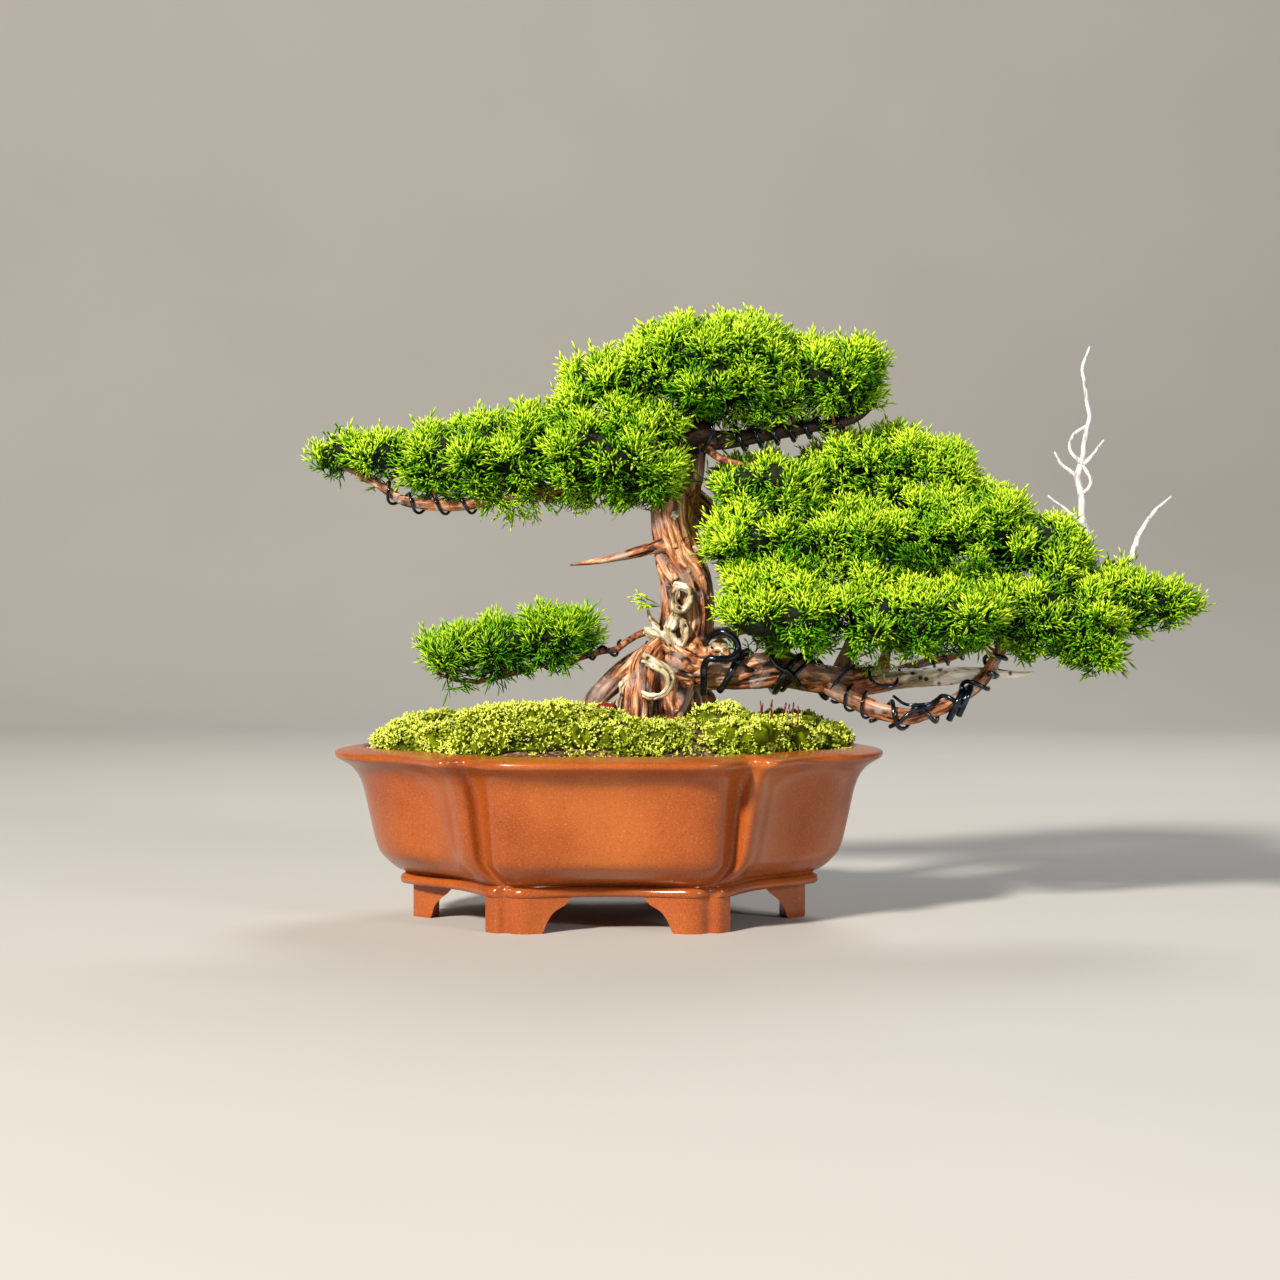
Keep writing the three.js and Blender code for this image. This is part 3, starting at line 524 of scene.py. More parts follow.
# %% The bowl
# share from the rim's outline to the base's, and height
OUTER_SECTION = [
    (1.02, 24), (0.985, 24.3), (0.96, 25.6), (0.952, 27.6), (0.962, 29.6), (0.985, 30.9),
    (1.02, 31.6), (1.01, 32.8), (0.93, 34.6), (0.83, 38), (0.73, 43), (0.65, 48), (0.59, 56),
    (0.54, 66), (0.485, 78), (0.43, 90), (0.385, 97), (0.34, 102), (0.28, 106), (0.22, 109),
    (0.14, 111.6), (0.06, 114), (0.015, 115.4), (0, 117), (0.003, 118.6), (0.03, 119.8),
    (0.1, 120.7), (0.24, 122), (0.34, 122.8), (0.385, 122.7), (0.415, 121.4),
]
INNER_SECTION = [(0.45, 117), (0.56, 100), (0.7, 74), (0.86, 48), (0.97, 39), (1.15, FLOOR_TOP)]
MERGE_WITHIN = 1e-6  # metres


def with_last(rows, value):
    """The rows with one more column that holds the same value everywhere, a height or a radius."""
    return np.column_stack([rows, np.full(len(rows), value)])


def primitive(operator, **settings):
    """Adds a primitive with nothing else selected."""
    bpy.ops.object.select_all(action="DESELECT")
    operator(**settings)
    return bpy.context.object


def merged(piece, outward=True):
    """Merges the corners that lie on one another and, if asked, turns all faces outwards."""
    select_only(piece)
    bpy.ops.object.mode_set(mode="EDIT")
    bpy.ops.mesh.select_all(action="SELECT")
    bpy.ops.mesh.remove_doubles(threshold=MERGE_WITHIN)
    if outward:
        bpy.ops.mesh.normals_make_consistent(inside=False)
    bpy.ops.object.mode_set(mode="OBJECT")
    return piece


def wrapped_grid(name, rings):
    """A closed skin over rings of points, from a grid primitive, with a point at either end."""
    columns = len(rings[0])
    piece = primitive(bpy.ops.mesh.primitive_grid_add, x_subdivisions=columns,
                      y_subdivisions=len(rings) + 1)
    piece.name = name
    first = np.repeat([rings[0].mean(axis=0)], columns + 1, axis=0)
    last = np.repeat([rings[-1].mean(axis=0)], columns + 1, axis=0)
    rows = [first] + [np.vstack([ring, ring[:1]]) for ring in rings] + [last]
    set_corners(piece.data, np.vstack(rows))
    return merged(piece)


section = np.vstack([curve_through(OUTER_SECTION, 2), curve_through(INNER_SECTION, 2)])
bowl = wrapped_grid("pot_bowl", [with_last(outline(share), z) for share, z in section])
print("the bowl has", len(bowl.data.polygons), "faces")

# %% [markdown]
# ## The feet and the holes
# Each foot is a piece of wall that follows the base outline, with an ogee on its inner side. It is
# lofted in layers: at each height the strip of wall starts where the ogee stands at that height.
# The drain holes and the holes for the tie wires are drilled last, with a boolean.

# %% The feet and the holes
FOOT_LAYERS = 14
FOOT_COLUMNS = 26
# of each foot its ogee, the first and last point of its quarter of the base, and the shares that
# its outer and inner faces stand at
END_FOOT = ([(0, 127), (9, 124), (15, 119), (19, 114), (24, 110)], 9, 13, 1.14, 1.52)
LONG_SIDE_FOOT = ([(0, 44), (8, 41), (15, 36), (19, 29), (24, 25)], 1, 7, 0.985, 1.3)
EASED_HEIGHT = 1.2  # the lowest edge is eased, as burnishing leaves it
EDGE_EASE = 0.6
HOLES = [(62, 0, 11), (98, 28, 3), (98, -28, 3)]  # X, Y and radius
DRILL_LENGTH = 40
CREASE_ANGLE = 50


def joined(name, pieces):
    select_only(*pieces)
    bpy.ops.object.join()
    piece = bpy.context.object
    piece.name = name
    piece.data.name = name
    return piece


def lengths_along(points):
    """How far each of the points is from the first, along the line through them."""
    return np.concatenate([[0], np.cumsum(np.linalg.norm(np.diff(points, axis=0), axis=1))])


def strip_from(curve, start_x, count):
    """count points along a curve of growing X, from where its X is start_x to its end."""
    travelled = lengths_along(curve)
    begin = np.interp(start_x, np.maximum.accumulate(curve[:, 0]), travelled)
    places = np.linspace(begin, travelled[-1], count)
    return np.column_stack([np.interp(places, travelled, curve[:, k]) for k in (0, 1)])


def foot(name, kind, side_x, side_y=1):
    ogee, first, last, *shares = kind
    # a foot at the end of the pot runs on through the tip of the outline
    through_tip = last == len(BASE_QUARTER) - 1
    faces = [curve_through(quarter_at(share)[first : last + 1], 4) for share in shares]
    heights, reaches = np.array(curve_through(ogee, 4)).T
    layers = []
    for z in np.linspace(0, FOOT_HEIGHT + 1, FOOT_LAYERS):
        ease = EDGE_EASE * max(0.0, 1 - z / EASED_HEIGHT)
        start_x = np.interp(z, heights, reaches) + ease
        outside, inside = (strip_from(face, start_x, FOOT_COLUMNS) for face in faces)
        if through_tip:
            outside, inside = (
                np.vstack([strip, strip[:-1][::-1] * (1, -1)]) for strip in (outside, inside))
        ring = np.vstack([outside, inside[::-1]])
        middle = ring.mean(axis=0)
        ring = middle + (ring - middle) * (1 - 0.02 * ease)
        layers.append(with_last(ring * (side_x, side_y), z))
    return wrapped_grid(name, layers)


feet = []
drills = []
for side_x in (1, -1):
    feet.append(foot(f"foot_end_{side_x}", END_FOOT, side_x))
    for side_y in (1, -1):
        feet.append(foot(f"foot_long_{side_x}_{side_y}", LONG_SIDE_FOOT, side_x, side_y))
    for x, y, radius in HOLES:
        drills.append(primitive(
            bpy.ops.mesh.primitive_cylinder_add, vertices=32, radius=radius * MM,
            depth=DRILL_LENGTH * MM,
            location=in_frame((side_x * x, y, (FOOT_HEIGHT + FLOOR_TOP) / 2))))
drill = joined("drill", drills)
cut = bowl.modifiers.new("holes", "BOOLEAN")
cut.object = drill
cut.operation = "DIFFERENCE"
cut.solver = "EXACT"
select_only(bowl)
bpy.ops.object.modifier_apply(modifier=cut.name)
bpy.data.objects.remove(drill)
pot = joined("clay_pot", [bowl, *feet])
bpy.ops.object.shade_smooth_by_angle(angle=math.radians(CREASE_ANGLE))
finish_piece(pot, CLAY, "unglazed_clay", "pot")

# %% [markdown]
# ## The tree's branches
# The branches are described as they grow: points from the thick end to the tip, each with its
# radius. They are the same routes as in the CAD model, so that the foliage, the wires and the
# collision shapes all agree; only the ring, the hook and the knot are a little stouter. The second
# value says from which share of its length a branch is bare of bark, where 1 means nowhere but at
# its very tip.

# %% The tree's branches
TRUNK = [
    (40, 8, 118, 27), (40, 6, 138, 28), (42, 4, 158, 26), (46, 3, 178, 23), (52, 3, 198, 20),
    (57, 3, 218, 19.5), (56, 2, 240, 18.5), (50, 1, 258, 18), (46, -1, 276, 17.5),
    (47, -2, 296, 17), (56, 0, 310, 11.5), (61, 0, 327, 8.8), (65, 1, 348, 8),
    (67, 2, 372, 6.5), (70, 0, 392, 4),
]
LIMB = [
    (44, -4, 190, 19), (56, -6, 182, 20.5), (68, -7, 178, 15), (92, -8, 175, 12.5),
    (121, -12, 177, 13), (145, -16, 172, 10.5), (163, -18, 169, 9.6), (191, -22, 170, 10.6),
    (203, -23, 171, 8.4), (218, -24, 172, 7.6), (236, -26, 173, 7), (250, -27, 174, 6.4),
    (268, -28, 175, 4.8), (286, -28, 174, 3), (300, -28, 176, 1),
]
SIDE_BRANCH = [
    (156, -20, 166, 7), (180, -34, 153, 6.8), (206, -42, 145, 6), (224, -43, 148, 5.2),
    (242, -40, 156, 5), (262, -34, 170, 4.8), (276, -28, 191, 4.4), (294, -24, 210, 4.2),
    (320, -20, 220, 4.4), (350, -16, 226, 3.8), (388, -12, 229, 2.6),
]
LEFT_BRANCH = [
    (52, -1, 312, 10), (22, -6, 312, 8), (-21, -10, 306, 6.2), (-77, -14, 297, 4.8),
    (-113, -14, 294, 4.2), (-143, -12, 296, 3.8), (-163, -10, 308, 3.2), (-184, -8, 319, 2.4),
    (-202, -6, 325, 1.6),
]
APEX_BRANCH = [
    (64, 0, 342, 8), (78, -2, 340, 7.4), (100, -4, 342, 6), (136, -2, 348, 5),
    (172, 0, 355, 4), (190, 0, 368, 2.5),
]
LOWER_LEFT_BRANCH = [
    (44, -4, 204, 4), (30, -9, 205, 2.8), (18, -13, 200, 2.5), (4, -16, 191, 2.3),
    (-9, -18, 189, 2.2), (-48, -24, 180, 2), (-98, -28, 169, 1.7), (-119, -30, 175, 1.2),
]
CROSSING_BRANCH = [
    (74, -3, 348, 8), (56, -5, 343, 8.6), (38, -7, 338, 7.6), (0, -10, 349, 4.6),
    (-28, -8, 360, 2.4),
]
BARK_RIDGE = [
    (52, 0, 308, 8), (68, 2, 294, 7), (80, 4, 279, 6), (110, 2, 267, 5), (146, -4, 264, 4),
    (182, -6, 268, 2.6),
]
BACK_RISER = [
    (163, -14, 172, 7), (176, 2, 200, 5.6), (190, 12, 240, 4.8), (200, 20, 284, 4),
    (206, 28, 314, 2.8),
]
THIN_BRANCH = [
    (202, -20, 176, 4.2), (227, -13, 183, 3.4), (246, -10, 187, 3.2), (268, -10, 200, 3),
    (292, -8, 216, 2.4),
]
# the heavy wood: trunk, limbs, roots, stubs and the spike on the trunk's left
HEAVY_WOOD = [
    (TRUNK, 1.0),
    (LIMB, 0.6),
    (SIDE_BRANCH, 1.0),
    (LEFT_BRANCH, 1.0),
    (APEX_BRANCH, 1.0),
    (CROSSING_BRANCH, 1.0),
    (BARK_RIDGE, 1.0),
    (BACK_RISER, 1.0),
    ([(123, -12, 180, 5.4), (125, -15, 200, 3.6), (128, -30, 214, 2.6)], 1.0),
    ([(193, -22, 176, 5), (196, -40, 198, 3.2), (202, -54, 212, 2.2)], 1.0),
    (THIN_BRANCH, 1.0),
    ([(54, 14, 206, 7), (78, 38, 202, 4.8), (104, 58, 206, 3.6), (124, 66, 214, 2.4)], 1.0),
    ([(52, 8, 282, 9), (76, 36, 288, 6), (112, 66, 296, 4.4), (156, 80, 304, 3)], 1.0),
    # the roots: the wing on the left, the column in front, those on the right and at the back
    ([(34, 0, 190, 10), (16, -6, 179, 9), (0, -12, 166, 7.6), (-13, -16, 152, 7),
      (-23, -20, 134, 6)], 1.0),
    ([(40, -8, 196, 10), (27, -18, 184, 10.6), (22, -24, 168, 10.4), (20, -28, 150, 10.8),
      (18, -30, 130, 9)], 1.0),
    ([(58, -12, 170, 6), (55, -18, 157, 3.4), (50, -22, 145, 2.8), (46, -24, 132, 2.4)], 1.0),
    ([(56, 8, 170, 13), (68, 16, 152, 10), (78, 22, 130, 7)], 1.0),
    ([(44, 16, 172, 14), (54, 36, 154, 11), (64, 52, 132, 7)], 1.0),
    ([(34, 14, 168, 12), (12, 34, 150, 9), (-4, 46, 130, 6)], 1.0),
    # the live vein that runs down to the ring
    ([(36, -9, 260, 4.4), (42, -12, 248, 4), (47, -16, 240, 3.6)], 1.0),
    # the knob that the heavy wire is anchored on
    ([(74, -8, 185, 9), (79, -22, 192, 8.4)], 1.0),
]
# twigs that run inside the pads
INNER_BRANCHES = [
    LOWER_LEFT_BRANCH,
    [(64, -3, 338, 3.4), (82, -12, 326, 2.6), (100, -20, 321, 2.3), (126, -25, 312, 1.8)],
    [(186, 10, 232, 4.6), (226, 10, 256, 3.6), (268, 6, 264, 2.4)],
]
# bare wood: the spike, the hook, the vein and its ring, the torn stump, splinter and stubs
DEAD_SPIKE = [
    (46, -8, 266, 8), (33, -12, 264, 5.4), (15, -16, 259, 4), (-6, -18, 254, 2.8),
    (-28, -18, 251, 1.2),
]
BARE_WOOD = [
    [(20, -16, 178, 3.4), (10, -27, 166, 3.6), (7, -31, 150, 4), (6, -34, 132, 3.4)],
    [(25, -29, 186, 3.6), (33, -37, 182, 4.2), (41, -41, 175, 4.4), (42, -41, 167, 4.4),
     (35, -40, 160, 4.4), (28, -38, 158, 4.2), (23, -33, 161, 3.8)],
    [(47, -18, 237, 3), (50, -20, 237, 3.2), (54, -21, 236, 3.2), (58, -21, 231, 3),
     (57, -21, 224, 3.2), (52, -20, 219, 3.6), (46, -20, 221, 3.6), (45, -20, 229, 3),
     (48, -20, 236, 3)],
    [(46.6, -14, 286, 3.8), (46.6, -18.6, 287, 2.8)],
    [(50, -14, 216, 5), (43, -18, 205, 6), (48, -17, 192, 5)],
    [(52, -15, 212, 4), (55, -19, 203, 3), (52, -20, 194, 2)],
    [(38, -13, 200, 3.4), (31, -15, 211, 2.2), (27, -16, 220, 0.8)],
    [(38, -12, 200, 4.4), (24, -16, 204, 3.8)],
    [(58, -8, 262, 4.6), (67, -14, 264, 3.4)],
]
# the upright jin on the right, its twigs, and the second jin
WHITE_JIN = [
    [(345, -15, 226, 4.2), (346, -9, 253, 3.6), (341, -8, 271, 3.3), (337, -8, 284, 3),
     (336, -8, 300, 2.8), (333, -8, 314, 2.7), (336, -8, 326, 2.4), (338, -8, 339, 2.1),
     (341, -8, 354, 1.9), (340, -8, 368, 1.7), (338, -8, 380, 1.5), (336, -8, 390, 1.3),
     (338, -8, 398, 1.1), (341, -8, 406, 0.8)],
    [(338, -8, 279, 2), (324, -9, 291, 1.3), (312, -10, 300, 0.8)],
    [(334, -8, 313, 2), (322, -7, 323, 1.3), (316, -7, 332, 0.8)],
    [(335, -8, 323, 1.9), (327, -9, 335, 1.4), (330, -9, 343, 1.3), (339, -8, 350, 1.5)],
    [(337, -8, 323, 1.9), (345, -7, 331, 1.3), (352, -7, 340, 0.8)],
    [(336, -8, 322, 1.8), (342, -8, 314, 1.5), (342, -8, 308, 1.5), (337, -8, 301, 1.6)],
    [(372, -14, 227, 3.4), (371, -8, 251, 3), (375, -8, 268, 2.4), (381, -8, 280, 2),
     (388, -8, 290, 1.5), (400, -8, 300, 0.8)],
]


THINNEST = 0.5  # radius


def centreline(points, spacing):
    """Rows x, y, z, radius, evenly spaced along a smooth curve through a branch's points."""
    fine = curve_through(points, 12)
    travelled = lengths_along(fine[:, :3])
    count = max(3, round(travelled[-1] / spacing) + 1)
    places = np.linspace(0, travelled[-1], count)
    rows = np.column_stack([np.interp(places, travelled, fine[:, k]) for k in range(4)])
    return np.column_stack([rows[:, :3], np.maximum(rows[:, 3], THINNEST)])


def tube(name, rows, sides=12):
    """A closed round tube along rows of x, y, z, radius, from a curve with a bevel."""
    curve = bpy.data.curves.new(name, "CURVE")
    curve.dimensions = "3D"
    curve.bevel_depth = MM
    curve.bevel_resolution = sides // 2 - 2
    curve.use_fill_caps = True
    spline = curve.splines.new("POLY")
    spline.points.add(len(rows) - 1)
    for point, row, radius in zip(spline.points, in_frame(rows[:, :3]), rows[:, 3]):
        point.co = (*row, 1)
        point.radius = radius
    piece = bpy.data.objects.new(name, curve)
    bpy.context.scene.collection.objects.link(piece)
    select_only(piece)
    bpy.ops.object.convert(target="MESH")
    return merged(bpy.context.object)


print(len(HEAVY_WOOD), "heavy branches and", len(WHITE_JIN), "white ones")

# %% [markdown]
# ## Growing the wood together
# Separate tubes look like plumbing. A voxel remesh melts them into one skin, as wood grows
# together where a branch leaves the trunk. Then each corner of that skin learns which branch it
# belongs to, and gets its place along the grain: across the branch in true millimetres, along it
# drawn out, and slowly turned, because juniper wood grows in a spiral.

# %% Growing the wood together
GRAIN_STRETCH = 0.16  # how much shorter the pattern is along the branch than it really lies
GRAIN_TURN = 0.012  # radians that the grain turns in each millimetre
GRAIN_WIDTH = 9  # millimetres across one broad strand of wood
ROW_SPACING = 4
BEND_LENGTH = 9  # millimetres from one small bend of a branch to the next
BRANCH_SHIFT = 37  # keeps the grain of neighbouring branches from matching
BARK_EDGE = 0.015  # half of the share of its length over which a branch loses its bark
BARK_TONGUES = 0.05  # how far the bark's edge runs out in tongues
POINTS_AT_ONCE = 20000


def gnarled(points, spacing, wobble, seed, uneven=0.0):
    """A branch's centreline with small random bends, none at its foot, and an uneven girth."""
    rows = centreline(points, spacing)
    along = np.arange(len(rows))[:, None] * spacing / BEND_LENGTH
    for axis in range(4):
        noise = layered_noise(np.hstack([along, 0 * along + axis, 0 * along]), seed, 2) - 0.5
        if axis < 3:
            rows[1:, axis] += 2 * wobble * noise[1:]
        else:
            rows[:, 3] *= 1 + 2 * uneven * noise
    return rows


def melted(piece, voxel, rounds):
    """Makes one even skin of everything in a piece, and eases it so many times."""
    piece.data.remesh_voxel_size = voxel * MM
    select_only(piece)
    bpy.ops.object.voxel_remesh()
    ease = piece.modifiers.new("ease", "SMOOTH")
    ease.factor = 0.5
    ease.iterations = rounds
    bpy.ops.object.modifier_apply(modifier=ease.name)
    return piece


def grow_together(name, branches, voxel, wobble=0.0, uneven=0.0):
    tubes = []
    for index, branch in enumerate(branches):
        rows = gnarled(branch, ROW_SPACING, wobble, index + 70, uneven)
        tubes.append(tube(f"{name}_{index}", rows, sides=14))
    return melted(joined(name, tubes), voxel, rounds=3)


def side_vectors(tangents):
    """Two directions across each tangent, carried along so that they don't spin."""
    across = np.cross(tangents[0], [0.3, 0.5, 0.8])
    first = []
    for tangent in tangents:
        across = across - tangent * (across @ tangent)
        across = across / np.linalg.norm(across)
        first.append(across)
    first = np.array(first)
    return first, np.cross(tangents, first)


def grain_of(points, branches, bare_from):
    """For each point its grain coordinate, the radius of its branch and how bare it is."""
    grain = np.zeros((len(points), 3))
    nearest = np.full(len(points), np.inf)
    radius = np.zeros(len(points))
    bareness = np.zeros(len(points))
    for index, (branch, bare_share) in enumerate(zip(branches, bare_from)):
        rows = centreline(branch, 2.0)
        along = np.arange(len(rows)) * 2.0
        tangents = unit(np.gradient(rows[:, :3], axis=0))
        first, second = side_vectors(tangents)
        for begin in range(0, len(points), POINTS_AT_ONCE):
            part = slice(begin, begin + POINTS_AT_ONCE)
            apart = points[part, None, :] - rows[None, :, :3]
            gap = np.linalg.norm(apart, axis=2) - rows[None, :, 3]
            best = gap.argmin(axis=1)
            pick = np.arange(len(best))
            closer = gap[pick, best] < nearest[part]
            row = best[closer]
            rel = apart[pick[closer], row]
            turn = GRAIN_TURN * along[row]
            a = (rel * first[row]).sum(axis=1)
            b = (rel * second[row]).sum(axis=1)
            lengthwise = along[row] + (rel * tangents[row]).sum(axis=1)
            spot = np.flatnonzero(closer) + begin
            grain[spot] = np.column_stack([
                a * np.cos(turn) - b * np.sin(turn) + BRANCH_SHIFT * index,
                a * np.sin(turn) + b * np.cos(turn),
                lengthwise * GRAIN_STRETCH,
            ])
            nearest[spot] = gap[pick, best][closer]
            radius[spot] = rows[row, 3]
            share = row / (len(rows) - 1)
            edge = bare_share + BARK_TONGUES * np.sin(3 * np.arctan2(a, b))
            bareness[spot] = smooth_step(share, edge - BARK_EDGE, edge + BARK_EDGE)
    return grain, radius, bareness


# millimetres of relief on the trunk: broad swellings, strands of wood, and fissures between them
SWELL_RELIEF = 2.4
STRAND_RELIEF = 6.5
FISSURE_RELIEF = 2.6
FULL_RELIEF_RADIUS = 14  # a thinner branch has less relief
# painted shade: over these heights the bark is darkened, in place of the crown's shadow
SHADED_FROM, SHADED_TO = 308, 330  # the heights over which the crown shades the bark
ALGAE_FULL, ALGAE_NONE = 226, 240  # the X over which algae thin out along the bare limb


def carve(piece, branches, bare_from, depth):
    """Moves the skin in and out along the grain, and stores the grain for the material."""
    mesh = piece.data
    points = corners_of(mesh)
    grain, radius, bareness = grain_of(points, branches, bare_from)
    size = np.clip(radius / FULL_RELIEF_RADIUS, 0.22, 1.1)
    swell = layered_noise(points / 16, seed=3, layers=2) - 0.5
    strands = layered_noise(grain / GRAIN_WIDTH, seed=11, layers=4) - 0.5
    fissure = 1 - np.abs(2 * value_noise(grain / (0.6 * GRAIN_WIDTH), seed=23) - 1)
    relief = SWELL_RELIEF * swell + STRAND_RELIEF * strands - FISSURE_RELIEF * fissure**5
    set_corners(mesh, points + normals_of(mesh) * (depth * size * relief)[:, None])
    # painted shade darkens the bark towards the top, in place of the crown's shadow; the algae on the
    # bare limb below are a real stain
    shade = (1 - bareness) * smooth_step(points[:, 2], SHADED_FROM, SHADED_TO)
    algae = bareness * (1 - smooth_step(points[:, 0], ALGAE_FULL, ALGAE_NONE))
    algae *= smooth_step(layered_noise(points / 7, seed=9), 0.35, 0.6)
    paint_attribute(mesh, "grain", grain)
    paint_attribute(mesh, "bare", bareness)
    paint_attribute(mesh, "painted_shade_and_algae", np.maximum(shade, algae))
    return piece


wood_routes = [branch for branch, _ in HEAVY_WOOD]
wood_bare_from = [share for _, share in HEAVY_WOOD]
wood = grow_together("trunk_and_limbs", wood_routes, voxel=1.25)
carve(wood, wood_routes, wood_bare_from, depth=1.0)
finish_piece(wood, BARK, "bark_and_deadwood", "trunk_and_branches", smooth=True)

# %% [markdown]
# ## Bare wood and thin branches
# The hook, the hollow ring and the torn stump are old roots and stubs that have lost their bark.
# They are melted together in the same way with a finer voxel, so that the ring stays open. The
# white jins are too thin for that and stay tubes, bent a little at random as dead twigs are.

# %% Bare wood and thin branches
# shares before and past a branch's length, so that none or all of it keeps its bark
ALL_BARE = -1.0
ALL_BARK = 1.5

bare_wood = grow_together("bare_wood", BARE_WOOD, voxel=0.7, wobble=1.3, uneven=0.35)
carve(bare_wood, BARE_WOOD, [ALL_BARE] * len(BARE_WOOD), depth=2.4)
finish_piece(bare_wood, BARK, "bark_and_deadwood", smooth=True)

spike = grow_together("dead_spike", [DEAD_SPIKE], voxel=0.8)
carve(spike, [DEAD_SPIKE], [ALL_BARK], depth=1.0)
finish_piece(spike, BARK, "bark_and_deadwood", smooth=True)

inner = []
for index, branch in enumerate(INNER_BRANCHES):
    rows = gnarled(branch, ROW_SPACING, wobble=1.2, seed=index + 5)
    inner.append(tube(f"inner_{index}", rows, sides=8))
finish_piece(joined("inner_branches", inner), TWIG, "bark_and_deadwood", smooth=True)

WHITE_GIRTH = 0.88  # the liming has thinned them
white = []
for index, branch in enumerate(WHITE_JIN):
    rows = gnarled(branch, spacing=2.5, wobble=0.8, seed=index + 40, uneven=0.15)
    white.append(tube(f"white_{index}", rows * (1, 1, 1, WHITE_GIRTH)))
finish_piece(joined("white_jin", white), LIMED, "bark_and_deadwood", smooth=True)

# %% [markdown]
# ## Training wires
# Each wire winds round its branch at an even pitch and just touches the bark. The route is worked
# out from the branch's own centreline: an angle that grows evenly, measured from the branch's top
# over its front, at the branch's radius plus half the wire. A hand of -1 winds it the other way.

# %% Training wires
HEAVY_WIRE = 2.5
MIDDLE_WIRE = 1.6
FINE_WIRE = 1.1
STEPS_PER_TURN = 22
WIRE_GAP = 0.2  # between a wire and the bark


def wound(branch, start, end, turns, first_angle, wire, slack=0.0, hand=1):
    """A wire's centreline round a branch, between two shares of the branch's length."""
    rows = centreline(branch, 1.0)
    count = round(turns * STEPS_PER_TURN) + 1
    places = np.linspace(start, end, count) * (len(rows) - 1)
    index = np.arange(len(rows))
    core = np.column_stack([np.interp(places, index, rows[:, k]) for k in range(4)])
    tangents = unit(np.gradient(core[:, :3], axis=0))
    front = unit(np.cross(tangents, UP))
    top = np.cross(front, tangents)
    angle = np.radians(first_angle) + hand * 2 * np.pi * np.arange(count) / STEPS_PER_TURN
    reach = (core[:, 3] + wire + slack + WIRE_GAP)[:, None]
    outward = top * np.cos(angle)[:, None] + front * np.sin(angle)[:, None]
    return with_last(core[:, :3] + outward * reach, wire)


WIRES = {
    "wire_limb_heavy": wound(LIMB, 0.152, 0.447, 1.9, 150, HEAVY_WIRE, hand=-1),
    "wire_limb_second": wound(LIMB, 0.32, 0.4287, 0.7, 182, MIDDLE_WIRE, hand=-1),
    "wire_side_branch": wound(SIDE_BRANCH, 0.14, 0.45, 4, 180, MIDDLE_WIRE, 0.6),
    "wire_left_branch": wound(LEFT_BRANCH, 0.54, 0.82, 4, 0, FINE_WIRE, 1.2),
    "wire_apex_branch": wound(APEX_BRANCH, 0.2, 0.82, 7, 0, MIDDLE_WIRE, 0.2),
    "wire_lower_left": wound(LOWER_LEFT_BRANCH, 0.22, 0.68, 5, 0, FINE_WIRE, 0.3),
}
for name, rows in WIRES.items():
    finish_piece(tube(name + "_wound", rows), WIRE, "training_wire", name, smooth=True)

# %% [markdown]
# ## Loops and wire ends
# Where branches fork, several wires cross and hook round stubs. These short pieces follow no
# branch evenly, so each is a curve through a few points that lie just off the bark.

# %% Loops and wire ends
LOOPS = [
    (HEAVY_WIRE, [(68, -12, 196), (72, -22, 201), (80, -28, 204), (88, -29, 200), (91, -28, 192),
                  (86, -31, 186), (77, -32, 185), (70, -30, 185), (67, -27, 179), (67, -25, 170),
                  (67, -17, 160)]),
    (FINE_WIRE, [(82, -30, 187), (88, -29, 184), (96, -27, 180), (104, -18, 175)]),
    (HEAVY_WIRE, [(129, -14, 206), (122, -20, 205), (114, -27, 195), (117, -31, 182),
                  (127, -30, 175), (134, -20, 167)]),
    (FINE_WIRE, [(150, -10, 160), (155, -25, 162), (161, -30, 170), (168, -30, 177),
                 (176, -24, 182)]),
    (FINE_WIRE, [(184, -24, 181), (184, -34, 171), (192, -37, 166), (201, -34, 167),
                 (205, -26, 178)]),
    (MIDDLE_WIRE, [(197, -40, 138), (203, -49, 142), (210, -51, 148), (222, -50, 153),
                   (231, -42, 158)]),
    (FINE_WIRE, [(200, -34, 159), (207, -48, 154), (217, -51, 154), (226, -48, 155)]),
    (HEAVY_WIRE, [(249, -30, 164), (247, -42, 163), (243, -48, 155), (238, -42, 143)]),
    (HEAVY_WIRE, [(255, -28, 166), (253, -40, 165), (249, -46, 157), (245, -40, 146)]),
    (FINE_WIRE, [(206, -22, 190), (211, -30, 200), (219, -31, 203), (224, -26, 195)]),
    (MIDDLE_WIRE, [(46, -14, 330), (50, -18, 338), (53, -16, 350), (50, -6, 354)]),
    (MIDDLE_WIRE, [(66, -11, 332), (71, -16, 340), (74, -14, 353), (72, -4, 358)]),
]
loop_rows = [with_last(curve_through(points, 7), radius) for radius, points in LOOPS]
loop_rows += [
    wound(SIDE_BRANCH, 0.03, 0.13, 2.2, 150, FINE_WIRE, 0.5),
    wound(SIDE_BRANCH, 0.47, 0.6, 2.6, 60, MIDDLE_WIRE, 0.4),
    wound(THIN_BRANCH, 0.25, 0.8, 5.5, 0, FINE_WIRE, 0.3),
    wound(CROSSING_BRANCH, 0.3, 0.6, 2.5, 40, FINE_WIRE, 0.4),
]
loops = joined("wire_loops", [
    tube(f"loop_{index}", rows, sides=10) for index, rows in enumerate(loop_rows)])
finish_piece(loops, WIRE, "training_wire", smooth=True)

